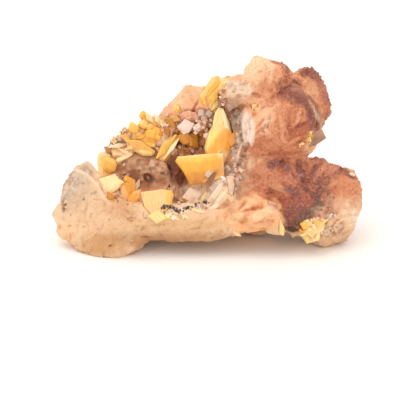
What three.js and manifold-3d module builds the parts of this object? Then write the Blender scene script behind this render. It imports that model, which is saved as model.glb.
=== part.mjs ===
// A wulfenite specimen: a piece of vein rock, bowed like a bridge between two feet. It has an open
// crystal pocket on the display side, orange-yellow tabular wulfenite round the pocket, and
// rust-stained calcite lobes at the right-hand end. Millimetres, +Z up. The display side faces -Y.
// The origin is the centre of the bounding box, on the table.
import * as THREE from "three";
import { mergeVertices } from "three/addons/utils/BufferGeometryUtils.js";
import { ImprovedNoise } from "three/addons/math/ImprovedNoise.js";
import Module from "manifold-3d";

const wasm = await Module();
wasm.setup();
const noise = new ImprovedNoise();

// ---- driving dimensions ----
const seatGap = 0.3; // clearance between solids that touch in the real specimen
const crustThickness = 1.3; // the small crystals that line the pocket
const displayTilt = THREE.MathUtils.degToRad(20); // how far above the table the display side is seen from
const eyeDistance = 500;
const displayCentre = new THREE.Vector3(-2, 0, 9.2);
const wrapReach = 80; // further than any surface lies from the centre it is wrapped round
const bulgeBlend = 5; // how widely the bulges of the rock run into each other
const lumpDetail = 2; // how finely small lumps are faceted
const lumpRoughness = { height: 0.5, width: 3 };

// ---- fields: negative inside, positive outside, about a millimetre per unit ----

// Undoes a turn of three angles in degrees, about X, Y and Z.
function unturned(turn) {
  const angles = new THREE.Euler(...turn.map(THREE.MathUtils.degToRad));
  return new THREE.Quaternion().setFromEuler(angles).invert();
}

function ellipsoid(at, size, turn = [0, 0, 0]) {
  const centre = new THREE.Vector3(...at);
  const radii = new THREE.Vector3(...size);
  const undo = unturned(turn);
  return (point) => {
    const p = point.clone().sub(centre).applyQuaternion(undo).divide(radii);
    const near = p.length();
    const slope = p.divide(radii).length();
    return slope < 1e-9 ? -Math.min(...size) : (near * (near - 1)) / slope;
  };
}

// A block with rounded edges. size is half its length along each of its axes.
function block(at, size, turn, round) {
  const centre = new THREE.Vector3(...at);
  const undo = unturned(turn);
  return (point) => {
    const p = point.clone().sub(centre).applyQuaternion(undo);
    const x = Math.abs(p.x) - size[0] + round;
    const y = Math.abs(p.y) - size[1] + round;
    const z = Math.abs(p.z) - size[2] + round;
    const outside = Math.hypot(Math.max(x, 0), Math.max(y, 0), Math.max(z, 0));
    return outside + Math.min(Math.max(x, y, z), 0) - round;
  };
}

// A flat break: everything on the side that the normal points to is gone.
function breakPlane(at, normal) {
  const n = new THREE.Vector3(...normal).normalize();
  const level = n.dot(new THREE.Vector3(...at));
  return (point) => point.dot(n) - level;
}

// The smaller of two fields, rounded over a width of blend where they meet.
function soften(a, b, blend) {
  const h = Math.max(blend - Math.abs(a - b), 0) / blend;
  return Math.min(a, b) - (h * h * blend) / 4;
}

const joined = (blend, ...fields) => (point) =>
  fields.map((f) => f(point)).reduce((a, b) => soften(a, b, blend));

const broken = (blend, field, ...planes) => (point) =>
  planes.reduce((d, plane) => -soften(-d, -plane(point), blend), field(point));

// Rough rock: three octaves of noise on a field, of a given height and width.
const roughened = (field, { height, width, seed }) => (point) => {
  const p = point.clone().divideScalar(width).addScalar(seed);
  const swell = noise.noise(p.x, p.y, p.z);
  const lump = noise.noise(2.1 * p.x, 2.1 * p.y, 2.1 * p.z);
  const grain = noise.noise(4.3 * p.x, 4.3 * p.y, 4.3 * p.z);
  return field(point) + height * (swell + 0.5 * lump + 0.25 * grain);
};

// A calcite lobe: a boss whose edge is scalloped like a cockscomb, round its own Y axis.
function lobe({ at, size, turn = [0, 0, 0], scallops = 11, depth = 0.6 }) {
  const boss = ellipsoid(at, size, turn);
  const undo = unturned(turn);
  const centre = new THREE.Vector3(...at);
  return (point) => {
    const p = point.clone().sub(centre).applyQuaternion(undo);
    const out = Math.hypot(p.x / size[0], p.z / size[2]);
    const fold = Math.abs(Math.sin((Math.atan2(p.z, p.x) * scallops) / 2));
    return boss(point) + depth * Math.min(out, 1.2) * (0.6 - fold);
  };
}

// ---- solids ----

// Wraps a sphere of triangles onto the outer surface of a field, seen from a centre inside it.
function wrap(field, centre, detail, offset = 0) {
  const middle = new THREE.Vector3(...centre);
  const ball = new THREE.IcosahedronGeometry(1, detail);
  ball.deleteAttribute("normal");
  ball.deleteAttribute("uv");
  const geometry = mergeVertices(ball, 1e-4);
  const corners = geometry.getAttribute("position");
  const way = new THREE.Vector3();
  for (let i = 0; i < corners.count; i++) {
    way.fromBufferAttribute(corners, i).normalize();
    let reach = wrapReach;
    for (let step = 0; step < 200; step++) {
      const clear = field(way.clone().multiplyScalar(reach).add(middle)) - offset;
      if (clear < 0.01) break;
      reach -= 0.7 * clear;
    }
    way.multiplyScalar(Math.max(reach, 0.5)).add(middle);
    corners.setXYZ(i, way.x, way.y, way.z);
  }
  return solid(geometry);
}

// A closed geometry as a manifold solid.
function solid(geometry) {
  const bare = new THREE.BufferGeometry().setAttribute("position", geometry.getAttribute("position"));
  if (geometry.index) bare.setIndex(geometry.index);
  const merged = mergeVertices(bare, 1e-4);
  return new wasm.Manifold(
    new wasm.Mesh({
      numProp: 3,
      vertProperties: new Float32Array(merged.getAttribute("position").array),
      triVerts: new Uint32Array(merged.index.array),
    }),
  );
}

// A manifold solid as a geometry, for a THREE.Mesh.
function geometryOf(shape) {
  const mesh = shape.getMesh();
  return new THREE.BufferGeometry()
    .setAttribute("position", new THREE.BufferAttribute(new Float32Array(mesh.vertProperties), 3))
    .setIndex(new THREE.BufferAttribute(new Uint32Array(mesh.triVerts), 1));
}

// ---- the rock ----

// The right-hand mass, the back wall of the pocket, its floor and the heel at the back, as one
// swelling body.
const mainField = roughened(
  broken(
    3,
    joined(
      bulgeBlend,
      ellipsoid([12, 1, 11.8], [15, 12, 11]),
      ellipsoid([14, 4, 26], [8, 8, 12]),
      ellipsoid([3, 8, 27], [11, 5.5, 12], [0, -12, 0]),
      ellipsoid([-0.5, 8.5, 34.6], [4.6, 3.6, 3.8]),
      ellipsoid([-4.4, 9, 20.4], [12, 5.5, 11.6], [0, -30, 0]),
      ellipsoid([-17, 6, 12.4], [9, 7, 10.6], [0, 20, 0]),
      ellipsoid([-20.6, 5.5, 18.2], [5.8, 4.2, 8.4], [0, -8, 0]),
      ellipsoid([-8, 0, 6.6], [20, 12, 6]),
      ellipsoid([2, 13, 4.5], [10, 5, 6]),
    ),
    breakPlane([0, 17, 10], [0.1, 1, 0.22]),
    breakPlane([-14, 13, 18], [-0.5, 1, 0.1]),
    breakPlane([0, 14, 28], [0, 0.9, 0.55]),
  ),
  { height: 1, width: 9, seed: 3 },
);
const mainMiddle = [8, 4, 15];
const mainDetail = 5;

// The left foot and the rim that runs from it, in front of the pocket, to the right-hand mass.
const limbField = roughened(
  joined(
    bulgeBlend,
    broken(
      1.5,
      joined(
        bulgeBlend,
        ellipsoid([-27.6, -7.6, 8.8], [11.4, 8.4, 9.6]),
        ellipsoid([-30.2, -5, 14], [4.9, 5, 7.6]),
        ellipsoid([-23.8, -11.8, 4.5], [8, 6, 6.5]),
      ),
      breakPlane([-33.5, -10, 14], [-0.8, -0.45, 0.45]),
      breakPlane([-29.5, -4.5, 20.8], [0.55, 0.1, 0.83]),
      breakPlane([-26.9, -8, 17.8], [0.8, 0, 0.6]),
      breakPlane([-31, -5.2, 21.6], [-0.4, -0.84, 0.36]),
    ),
    ellipsoid([-12, -10.5, 7.2], [14, 5, 4.4], [0, 6, 0]),
    ellipsoid([6, -10, 7.5], [14, 5.5, 4.6], [0, -4, 0]),
  ),
  { height: 0.6, width: 8, seed: 11 },
);
const limbMiddle = [-16, -9.5, 7.5];
const limbDetail = 6;

// Folds of pale flowstone where the rim meets the stained lobes.
const flowstones = [
  { at: [7.5, -11.3, 11], size: [4.6, 3.4, 2.6], turn: [0, -35, 0] },
  { at: [12.6, -12.3, 9.2], size: [4.2, 3.6, 2.8], turn: [0, -15, 0] },
  { at: [12, -10.2, 13.4], size: [4.4, 3.2, 2.4], turn: [0, -48, 0] },
  { at: [16.6, -11.6, 7.6], size: [3.2, 3.4, 3.4], turn: [0, 0, 0] },
];

// The crumbly grey wall at the pocket's right side: a flat-topped ledge, a pale column and the
// lumps under them.
const wallBlocks = [
  { at: [7.2, 2.5, 36.6], size: [4.2, 4.5, 2.6], turn: [8, -4, 6], round: 0.8 },
  { at: [8.7, -1.5, 28], size: [1.6, 2.6, 6.2], turn: [0, 6, 0], round: 1.2 },
  { at: [6.6, -2.4, 19.6], size: [2.4, 2.8, 4.6], turn: [0, 24, 20], round: 1 },
];

const lobes = [
  // lower right
  { at: [25, -2.5, 11], size: [11, 9.5, 8.8], turn: [0, 4, -8] },
  { at: [18.5, -7.5, 17], size: [5.4, 5, 4.8], scallops: 7 },
  { at: [28, -4, 15], size: [6.6, 6, 5.4], scallops: 15, depth: 0.8 },
  { at: [33.6, -3.6, 11], size: [4.8, 6.6, 7.6], scallops: 13, depth: 0.8 },
  { at: [23.4, -8, 9.2], size: [6.6, 6, 6.2] },
  { at: [29.2, -5.6, 4.4], size: [7.4, 5.6, 5], scallops: 9, depth: 0.4 },
  // middle
  { at: [20.6, -3.6, 31.6], size: [5.4, 6, 8], turn: [0, 10, 0], scallops: 13, depth: 0.7 },
  { at: [15.4, -4, 27.6], size: [5.2, 5.6, 7], scallops: 9 },
  { at: [21.4, -4, 25.4], size: [4.8, 5.4, 5], scallops: 9 },
  { at: [13.6, -5, 20.6], size: [4.6, 5, 5.6], scallops: 5, depth: 0.3 },
  // upper left
  { at: [14.4, 2.6, 38.6], size: [6, 5.6, 6], scallops: 5, depth: 0.8 },
  { at: [12.2, 3.4, 41.6], size: [3.2, 3.8, 4], scallops: 3, depth: 0.3 },
  { at: [17.2, 4, 38.8], size: [3.2, 4.2, 4.6], scallops: 5, depth: 0.3 },
  // back
  { at: [24.8, 6, 33.8], size: [5, 4.4, 8], turn: [0, -8, 20], scallops: 17, depth: 0.8 },
  { at: [26, 6, 31.6], size: [4.8, 4, 5.4], turn: [0, 0, 20], scallops: 13, depth: 0.7 },
  // behind
  { at: [20, 8.5, 11], size: [9, 7.5, 7.5], turn: [0, 0, 30], scallops: 9, depth: 0.7 },
  { at: [14, 10, 27], size: [8, 5.5, 9], turn: [0, 20, 0], scallops: 7, depth: 0.6 },
];
const lobesCore = ellipsoid([17, 1, 20], [7, 7, 14]);
const lobesField = roughened(joined(1.4, lobesCore, ...lobes.map(lobe)), {
  height: 0.9,
  width: 5,
  seed: 2,
});
const lobesMiddle = [19, 0, 21];
const lobesDetail = 9;

// The brown rock that bulges into the left half of the pocket.
const brownMass = broken(
  1,
  ellipsoid([-16.5, 1.5, 15], [8, 7, 6], [0, 10, 0]),
  breakPlane([-9.4, 0, 15], [1, -0.2, 0]),
  breakPlane([-14, -4.5, 15], [0.1, -0.8, 0.6]),
);

// The pocket, open to the display side and to the top left.
const pocketHollow = joined(
  3,
  ellipsoid([-11, -3.5, 18.5], [12.5, 8, 7.5], [0, -12, 0]),
  ellipsoid([-9, -13, 21], [15, 9, 9], [20, -14, 0]),
  ellipsoid([-3.5, -2, 26.5], [9.5, 8, 9.5], [0, -20, 0]),
  ellipsoid([-6, -1, 14], [5, 7, 6]),
);
const pocketField = roughened((point) => -soften(-pocketHollow(point), brownMass(point), 1.5), {
  height: 1.1,
  width: 6,
  seed: 7,
});
const pocketMiddle = [-7, -7, 20];
const pocketDetail = 5;

// The arch under the bow of the rock, higher at its right-hand end.
const archField = roughened(
  joined(3, ellipsoid([-1, -9, -1], [17, 12, 5]), ellipsoid([12, -12, 1.8], [9, 8, 4.6])),
  { height: 0.5, width: 7, seed: 1 },
);
const archMiddle = [0, -9, 0];
const archDetail = 3;

// A small rough lump round its own middle.
function lump(field, at, seed, offset = 0) {
  return wrap(roughened(field, { ...lumpRoughness, seed }), at, lumpDetail, offset);
}

const filledRock = [
  wrap(mainField, mainMiddle, mainDetail),
  wrap(limbField, limbMiddle, limbDetail),
  ...flowstones.map(({ at, size, turn }, i) => lump(ellipsoid(at, size, turn), at, i)),
  wrap(lobesField, lobesMiddle, lobesDetail),
].reduce((a, b) => a.add(b));

const wallRubble = (offset) =>
  wallBlocks
    .map(({ at, size, turn, round }, i) => lump(block(at, size, turn, round), at, i, offset))
    .reduce((a, b) => a.add(b));

const belowTable = solid(new THREE.BoxGeometry(200, 200, 20).translate(0, 0, -10));
const bareRock = filledRock
  .subtract(wrap(archField, archMiddle, archDetail))
  .subtract(wrap(pocketField, pocketMiddle, pocketDetail))
  .add(wallRubble(0))
  .subtract(belowTable);

// The crust of small crystals over the back and the floor of the pocket.
const druseField = roughened(pocketField, { height: 0.7, width: 1.7, seed: 5 });
const crustMiddle = [-3, 2, 20];
const crustReach = ellipsoid(crustMiddle, [9.5, 9.5, 13]);
const crustInset = 0.6; // the crust stays this far inside the rock's outer surface
const bareCrust = wrap(pocketField, pocketMiddle, pocketDetail, -seatGap)
  .subtract(wrap(druseField, pocketMiddle, pocketDetail, -seatGap - crustThickness))
  .intersect(wrap(crustReach, crustMiddle, lumpDetail))
  .intersect(wrap(mainField, mainMiddle, mainDetail, -crustInset))
  .subtract(wallRubble(seatGap));

// ---- the crystals ----

// The display side as a plane: x to the right, y up it, z out of it towards the eye.
const display = new THREE.Group();
display.position.copy(displayCentre);
display.rotation.x = Math.PI / 2 - displayTilt;
display.updateMatrixWorld(true);
const eye = new THREE.Vector3(0, 0, eyeDistance);
const ground = [bareRock, bareCrust].map((s) => new THREE.Mesh(geometryOf(s)));

// Where the line of sight through a point of the display plane meets the bare rock or its crust.
function seatAt([x, y]) {
  const from = display.localToWorld(eye.clone());
  const towards = display.localToWorld(new THREE.Vector3(x, y, 0)).sub(from).normalize();
  const hit = new THREE.Raycaster(from, towards).intersectObjects(ground)[0];
  return display.worldToLocal(hit.point.clone());
}

// Moves each side of an outline outwards by a distance.
function widened(corners, distance) {
  const sign = THREE.ShapeUtils.isClockWise(corners) ? -1 : 1;
  return corners.map((corner, i) => {
    const before = corner.clone().sub(corners.at(i - 1)).normalize();
    const after = corners[(i + 1) % corners.length].clone().sub(corner).normalize();
    const out = new THREE.Vector2(before.y + after.y, -before.x - after.x);
    return corner.clone().addScaledVector(out, (sign * distance) / (1 + before.dot(after)));
  });
}

// A flat crystal with bevelled edges. Its outline is given as it shows on the display plane, and is
// carried along the lines of sight onto the plane that faces the way given, through the seat and
// lifted off it towards the eye. Its socket is the same plate with sharp edges, larger all round
// by the clearance.
function plate({ outline, face, thickness, lift = 0, bevel = 0.4 }, seat, socket) {
  const normal = new THREE.Vector3(...face).normalize();
  const middle = seat.clone().add(new THREE.Vector3(0, 0, lift));
  const plane = new THREE.Plane().setFromNormalAndCoplanarPoint(normal, middle);
  const turn = new THREE.Quaternion().setFromUnitVectors(new THREE.Vector3(0, 0, 1), normal);
  const undo = turn.clone().invert();
  const corners = outline.map(([x, y]) => {
    const sight = new THREE.Ray(eye, new THREE.Vector3(x, y, -eyeDistance).normalize());
    const corner = sight.intersectPlane(plane, new THREE.Vector3()).sub(middle).applyQuaternion(undo);
    return new THREE.Vector2(corner.x, corner.y);
  });
  const bevelled = bevel
    ? { bevelThickness: bevel, bevelSize: bevel, bevelOffset: -bevel, bevelSegments: 1 }
    : { bevelEnabled: false };
  const geometry = socket
    ? new THREE.ExtrudeGeometry(new THREE.Shape(widened(corners, seatGap)), {
        depth: thickness + 2 * seatGap,
        bevelEnabled: false,
      }).translate(0, 0, -seatGap - thickness)
    : new THREE.ExtrudeGeometry(new THREE.Shape(corners), {
        depth: thickness - 2 * bevel,
        ...bevelled,
      }).translate(0, 0, bevel - thickness);
  geometry.applyQuaternion(turn);
  geometry.translate(middle.x, middle.y, middle.z);
  return solid(geometry.applyMatrix4(display.matrixWorld));
}

// Each crystal, or group of crystals grown together: the point of the display plane at which it is
// seated, and its plates from back to front. Outlines are in millimetres on the display plane.
const wulfenite = { color: 0xf2b233, roughness: 0.3 };
const paleWulfenite = { color: 0xf7dc8c, roughness: 0.35 };
const calcite = { color: 0xf0dcd2, roughness: 0.4 };
const crystals = [
  {
    name: "wulfenite_centre_pair",
    look: wulfenite,
    seat: [6.2, 6],
    plates: [
      {
        outline: [
          [5.4, 23.2], [6.8, 20], [7.8, 15.6], [6.8, 11.5],
          [5.2, 6.5], [2.2, 6.5], [0.8, 13], [1.2, 16.1],
        ],
        face: [-0.35, 0.1, 0.93],
        thickness: 2.4,
        lift: -0.6,
        bevel: 0.9,
      },
      {
        outline: [
          [-5.5, 11], [0.8, 11.6], [5.9, 11.9], [6.2, 5.8],
          [1.2, 4.4], [-2.5, 4.2], [-4, 7.2], [-6.1, 10],
        ],
        face: [0.08, 0.2, 0.97],
        thickness: 2.2,
        lift: 1.2,
        bevel: 0.5,
      },
    ],
  },
  {
    name: "wulfenite_left_guard",
    look: wulfenite,
    seat: [-22.5, 6.5],
    plates: [
      {
        outline: [
          [-25, 12], [-24, 12.2], [-23, 11.2], [-21.4, 10],
          [-20.4, 7.8], [-20.9, 5.5], [-25, 5], [-25.5, 10.5],
        ],
        face: [0.2, 0.15, 0.96],
        thickness: 3.2,
        bevel: 0.9,
      },
    ],
  },
  {
    name: "wulfenite_pale_leaf",
    look: paleWulfenite,
    seat: [-23.5, 2.8],
    plates: [
      {
        outline: [
          [-25.5, 5.5], [-21.1, 6.8], [-20.1, 5.5],
          [-18.6, 4.6], [-21.1, 2.6], [-23.7, 1.3],
        ],
        face: [0.1, 0.5, 0.86],
        thickness: 1.5,
        lift: 0.6,
      },
    ],
  },
  {
    name: "wulfenite_low_pair",
    look: wulfenite,
    seat: [-18, -0.5],
    plates: [
      {
        outline: [[-18.3, 6.2], [-16, 5], [-15.8, 0], [-17, -1.8], [-19.8, -1.2], [-19.5, 3.8]],
        face: [0.45, 0, 0.9],
        thickness: 1.4,
        lift: -0.4,
      },
      {
        outline: [
          [-18.6, -1.8], [-18.1, 1.1], [-16.8, 2.2],
          [-14.8, 2.9], [-15, 0.5], [-16.4, -1.4],
        ],
        face: [-0.2, 0.25, 0.95],
        thickness: 1.2,
        lift: 0.6,
      },
    ],
  },
  {
    name: "wulfenite_front_plate",
    look: paleWulfenite,
    seat: [-10, -2.5],
    plates: [
      {
        outline: [
          [-14.8, 2.1], [-9.6, 2.8], [-7.1, 2.6], [-6.6, 1.6],
          [-7.1, -0.8], [-8.5, -2.5], [-12, -4.2], [-13.8, -2],
        ],
        face: [0, 0.3, 0.95],
        thickness: 1.9,
        lift: 0.7,
      },
      {
        outline: [[-12.5, -2], [-10, -2.2], [-8.2, -4], [-10, -5.8], [-12.2, -4.8]],
        face: [0.1, 0.1, 0.99],
        thickness: 1.2,
        lift: 0.6,
        bevel: 0.3,
      },
    ],
  },
  {
    name: "wulfenite_top_stack",
    look: wulfenite,
    seat: [4.2, 25],
    plates: [
      {
        outline: [
          [2, 28.6], [3.6, 30.9], [4.6, 31.2], [6.4, 29.1],
          [5.7, 27.6], [4.6, 23.2], [3.4, 22.5],
        ],
        face: [0.35, 0.1, 0.93],
        thickness: 2.4,
        lift: 0.4,
      },
      {
        outline: [[0.9, 27.3], [3, 30], [4.4, 30.6], [4.6, 29.4], [3.6, 24.4], [2.7, 23.2]],
        face: [0.3, 0.15, 0.94],
        thickness: 1.8,
        lift: 0.9,
        bevel: 0.3,
      },
      {
        outline: [[0, 26.1], [2.4, 29.4], [3.2, 28.9], [1.5, 25.6], [1.7, 23.6], [0.8, 24]],
        face: [0.25, 0.15, 0.95],
        thickness: 1.6,
        lift: 1.3,
        bevel: 0.3,
      },
    ],
  },
  {
    name: "wulfenite_ridge_slivers",
    look: paleWulfenite,
    seat: [-19, 12],
    plates: [
      {
        outline: [
          [-22.5, 13.2], [-20.2, 13.5], [-17.2, 14.4],
          [-16, 12.5], [-18.5, 11.2], [-21.8, 11.4],
        ],
        face: [0, 0.55, 0.83],
        thickness: 1.5,
        lift: 0.7,
        bevel: 0.3,
      },
      {
        outline: [
          [-21.1, 9.8], [-20.8, 10.5], [-17.2, 12],
          [-16.8, 11.5], [-18, 10.6], [-20.5, 9.5],
        ],
        face: [-0.1, 0.4, 0.9],
        thickness: 1.4,
        lift: 0.9,
        bevel: 0,
      },
    ],
  },
  {
    name: "wulfenite_ridge_knobs",
    look: wulfenite,
    seat: [-12.6, 15.4],
    plates: [
      {
        outline: [
          [-13.8, 22], [-12.2, 21.2], [-11, 20.5], [-11, 17.6],
          [-13.2, 16.5], [-16, 16.8], [-14.2, 20.5],
        ],
        face: [0.1, 0.1, 0.99],
        thickness: 1.8,
        lift: -0.8,
        bevel: 0,
      },
      {
        outline: [
          [-13.5, 18], [-11.8, 18.8], [-10, 18.2], [-9.2, 16.8],
          [-9.8, 15], [-11.5, 14.2], [-13.5, 14.8], [-14.2, 16.5],
        ],
        face: [0.1, 0.2, 0.97],
        thickness: 3,
        lift: 1,
        bevel: 0.9,
      },
      {
        outline: [[-17.8, 18.5], [-16.5, 19.2], [-15, 18.5], [-14.6, 17], [-16, 16], [-17.8, 16.5]],
        face: [-0.2, 0.2, 0.96],
        thickness: 2.6,
        lift: 0,
        bevel: 0.7,
      },
      {
        outline: [[-14.9, 22], [-14, 22.4], [-13.4, 21.5], [-13.4, 20.2], [-14.8, 20.2]],
        face: [-0.1, 0.2, 0.97],
        thickness: 1.5,
        lift: -0.6,
        bevel: 0,
      },
    ],
  },
  {
    name: "wulfenite_middle_leaf",
    look: wulfenite,
    seat: [-15.5, 13.5],
    plates: [
      {
        outline: [
          [-19.3, 15.9], [-15.2, 15.8], [-11.2, 12.5],
          [-12, 11.8], [-14.2, 11.8], [-18.1, 13.8],
        ],
        face: [0.05, 0.6, 0.8],
        thickness: 1.7,
        lift: 1,
      },
    ],
  },
  {
    name: "wulfenite_tilted_lens",
    look: wulfenite,
    seat: [-9.6, 10.6],
    plates: [
      {
        outline: [[-11.2, 9.8], [-9.6, 15.4], [-6.1, 16.9], [-5.5, 16.1], [-6.8, 12.5], [-9.1, 10]],
        face: [-0.4, 0.3, 0.87],
        thickness: 1.7,
        lift: 0.8,
      },
    ],
  },
  {
    name: "wulfenite_shadow_cluster",
    look: { color: 0xc98a2e, roughness: 0.35 },
    seat: [-3.4, 15],
    plates: [
      {
        outline: [
          [-5, 17.2], [-3, 16.9], [-0.5, 17], [-0.2, 15.2],
          [-2, 13.5], [-4.8, 14.5], [-5.8, 16],
        ],
        face: [0.1, 0.2, 0.97],
        thickness: 1.8,
        lift: 0.8,
      },
      {
        outline: [[-8.2, 20.2], [-5.8, 20.8], [-4.5, 17.4], [-5, 15.6], [-7, 17]],
        face: [-0.2, 0.3, 0.93],
        thickness: 1.6,
        lift: 0.2,
      },
    ],
  },
  {
    name: "wulfenite_behind_blade",
    look: wulfenite,
    seat: [8.2, 14.5],
    plates: [
      {
        outline: [[7, 16.8], [8.8, 17.1], [9.6, 15.5], [8.5, 13.2], [6.9, 12.2]],
        face: [0.3, 0.1, 0.95],
        thickness: 1.5,
        lift: 0.3,
      },
    ],
  },
  {
    name: "wulfenite_ridge_nodule",
    look: paleWulfenite,
    seat: [-5.6, 22.9],
    plates: [
      {
        outline: [[-6.5, 23.5], [-5.2, 23.9], [-4.8, 22.8], [-5.5, 22], [-6.5, 22.4]],
        face: [0, 0.2, 0.98],
        thickness: 1.4,
        lift: 0.4,
        bevel: 0.35,
      },
    ],
  },
  {
    name: "wulfenite_side_fleck",
    look: paleWulfenite,
    seat: [13.8, 23],
    plates: [
      {
        outline: [[12.8, 24.1], [13.5, 24.4], [14.6, 23], [14.2, 22], [13, 23.2]],
        face: [0.1, 0.1, 0.98],
        thickness: 1.2,
        lift: 0.3,
        bevel: 0,
      },
    ],
  },
  {
    name: "wulfenite_corner_crumbs",
    look: paleWulfenite,
    seat: [29, -7.5],
    plates: [
      {
        outline: [
          [27.2, -6.2], [29.2, -4.8], [31, -5.6], [30.2, -7],
          [29.8, -10], [27, -10.8], [25.8, -9],
        ],
        face: [0.1, 0.1, 0.99],
        thickness: 2.8,
        lift: 1.8,
      },
      {
        outline: [[27.8, -4.8], [30, -4.1], [32.2, -4.8], [30.5, -6.2], [28.2, -6]],
        face: [0.1, 0.4, 0.9],
        thickness: 1.6,
        lift: 1.6,
        bevel: 0.3,
      },
    ],
  },
  {
    name: "wulfenite_side_wedge",
    look: wulfenite,
    seat: [20.5, -7],
    plates: [
      {
        outline: [[19.8, -4], [21.2, -7.2], [21, -9], [19.9, -8.5]],
        face: [0.2, 0, 0.98],
        thickness: 1,
        lift: 0.4,
        bevel: 0,
      },
    ],
  },
  {
    name: "calcite_side_plate",
    look: calcite,
    seat: [28.2, 15.4],
    plates: [
      {
        outline: [[26.6, 17], [30.5, 17.8], [31.5, 15.8], [28.8, 14], [26.6, 14.4]],
        face: [-0.1, 0.3, 0.95],
        thickness: 1.5,
        lift: 0,
        bevel: 0.3,
      },
      {
        outline: [[27, 13.2], [27.6, 15.8], [28.6, 16.9], [28.5, 14]],
        face: [0.2, 0, 0.98],
        thickness: 1.2,
        lift: 0.6,
        bevel: 0,
      },
    ],
  },
  {
    name: "calcite_rhomb_upper",
    look: calcite,
    seat: [-3.6, 17.6],
    plates: [
      {
        outline: [[-5.8, 18.5], [-3.5, 20.4], [-1.4, 19.4], [-1.5, 18.2], [-4, 16.4]],
        face: [0.05, 0.35, 0.94],
        thickness: 2.4,
        lift: 1.4,
        bevel: 0,
      },
    ],
  },
  {
    name: "calcite_rhomb_lower",
    look: calcite,
    seat: [-1.8, 0.6],
    plates: [
      {
        outline: [[-3.9, 1.5], [-2.5, 3.2], [0.4, 2], [-0.9, -0.5]],
        face: [-0.15, 0.3, 0.94],
        thickness: 2.6,
        lift: 0.9,
        bevel: 0,
      },
    ],
  },
  {
    name: "calcite_saw_ridge",
    look: calcite,
    seat: [4, -1],
    plates: [
      {
        outline: [[1, -2.8], [2, -0.8], [5.5, 3], [6, 2], [3.5, -1.8]],
        face: [-0.4, 0.2, 0.9],
        thickness: 1.4,
        lift: 1,
        bevel: 0.3,
      },
      {
        outline: [[2.6, -3.3], [4.5, -0.8], [7.2, 1], [7.8, -0.8], [5.5, -3]],
        face: [0.1, 0.5, 0.86],
        thickness: 1.4,
        lift: 0.6,
        bevel: 0.3,
      },
    ],
  },
  {
    name: "calcite_wall_blades",
    look: calcite,
    seat: [7.8, 3],
    plates: [
      {
        outline: [[6.8, 4.5], [7.8, 6.8], [8.5, 3.8], [8, 0.8], [7, 1.8]],
        face: [-0.4, 0, 0.92],
        thickness: 1.4,
        lift: 0.6,
        bevel: 0.3,
      },
    ],
  },
];

// The rhombs that stand up out of the crust and are one with it.
const crustRhombs = {
  seat: [1, 19],
  plates: [
    {
      outline: [[1.2, 21.5], [2, 22.6], [3.5, 21.9], [3.4, 19.4], [1, 18.4]],
      face: [0.2, 0.2, 0.96],
      thickness: 2.2,
      lift: 1,
      bevel: 0,
    },
    {
      outline: [[-1.2, 18.2], [-0.2, 19.8], [1.2, 19.6], [1.4, 18], [-0.5, 17.2]],
      face: [0, 0.2, 0.98],
      thickness: 2.4,
      lift: 1.5,
      bevel: 0,
    },
  ],
};

// All the plates of a crystal, or of its socket, as one solid.
function grown({ seat, plates }, socket = false) {
  const at = seatAt(seat);
  return plates.map((p) => plate(p, at, socket)).reduce((a, b) => a.add(b));
}

// ---- the specimen ----
const specimen = new THREE.Group();

function addPiece(name, shape, look) {
  const material = new THREE.MeshStandardMaterial({ metalness: 0, ...look });
  const piece = new THREE.Mesh(geometryOf(shape), material);
  piece.name = name;
  specimen.add(piece);
}

// Each crystal is cut clear of the ones before it, and the crust and the rock are cut clear of them all.
let sockets = grown(crystals[0], true);
addPiece(crystals[0].name, grown(crystals[0]), crystals[0].look);
for (const crystal of crystals.slice(1)) {
  addPiece(crystal.name, grown(crystal).subtract(sockets), crystal.look);
  sockets = sockets.add(grown(crystal, true));
}
const crustShape = bareCrust.add(grown(crustRhombs).subtract(bareRock)).subtract(sockets);
addPiece("vug_crust", crustShape, { color: 0xd9b79a, roughness: 0.6 });
const matrixShape = bareRock.subtract(grown(crustRhombs, true)).subtract(sockets);
addPiece("matrix", matrixShape, { color: 0xe9c3a0, roughness: 0.85 });

export default specimen;
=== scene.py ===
# A wulfenite specimen dressed for a close look: limestone with rust-stained calcite lobes, an open
# crystal pocket, butterscotch wulfenite plates, and the crumbs that lie between them.
import math
import random
import bpy
import numpy as np
from mathutils import Euler, Matrix, Vector, noise
from mathutils.bvhtree import BVHTree


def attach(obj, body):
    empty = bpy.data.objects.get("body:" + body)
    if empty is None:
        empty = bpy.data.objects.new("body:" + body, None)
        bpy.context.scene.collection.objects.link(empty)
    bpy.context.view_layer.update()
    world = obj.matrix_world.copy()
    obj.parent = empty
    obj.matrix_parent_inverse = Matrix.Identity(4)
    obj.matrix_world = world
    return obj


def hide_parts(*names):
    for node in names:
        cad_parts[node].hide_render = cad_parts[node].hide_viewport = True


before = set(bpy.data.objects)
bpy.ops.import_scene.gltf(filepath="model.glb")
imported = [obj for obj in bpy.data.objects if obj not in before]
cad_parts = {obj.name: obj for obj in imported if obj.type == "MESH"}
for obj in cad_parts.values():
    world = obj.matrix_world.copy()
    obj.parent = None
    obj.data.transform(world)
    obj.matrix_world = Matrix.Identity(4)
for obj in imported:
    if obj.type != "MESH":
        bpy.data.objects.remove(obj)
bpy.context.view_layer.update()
mm = 0.001

# The display plane: places on the specimen are given in millimetres across and up this plane,
# which stands through the specimen, and are carried along the line of sight.
display = {
    "centre": Vector((-2, 0, 9.2)) * mm,
    "elevation": math.radians(20),
    "eyeDistance": 500 * mm,
}
sight = Vector((0, math.cos(display["elevation"]), -math.sin(display["elevation"])))
upward = Vector((0, math.sin(display["elevation"]), math.cos(display["elevation"])))
eye = display["centre"] - sight * display["eyeDistance"]


def displayPlaces(points):
    # where world points (metres) show on the display plane: millimetres across and up
    away = points - np.array(eye)
    scale = display["eyeDistance"] / mm / (away @ np.array(sight))
    return np.column_stack([away[:, 0] * scale, (away @ np.array(upward)) * scale])


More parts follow.
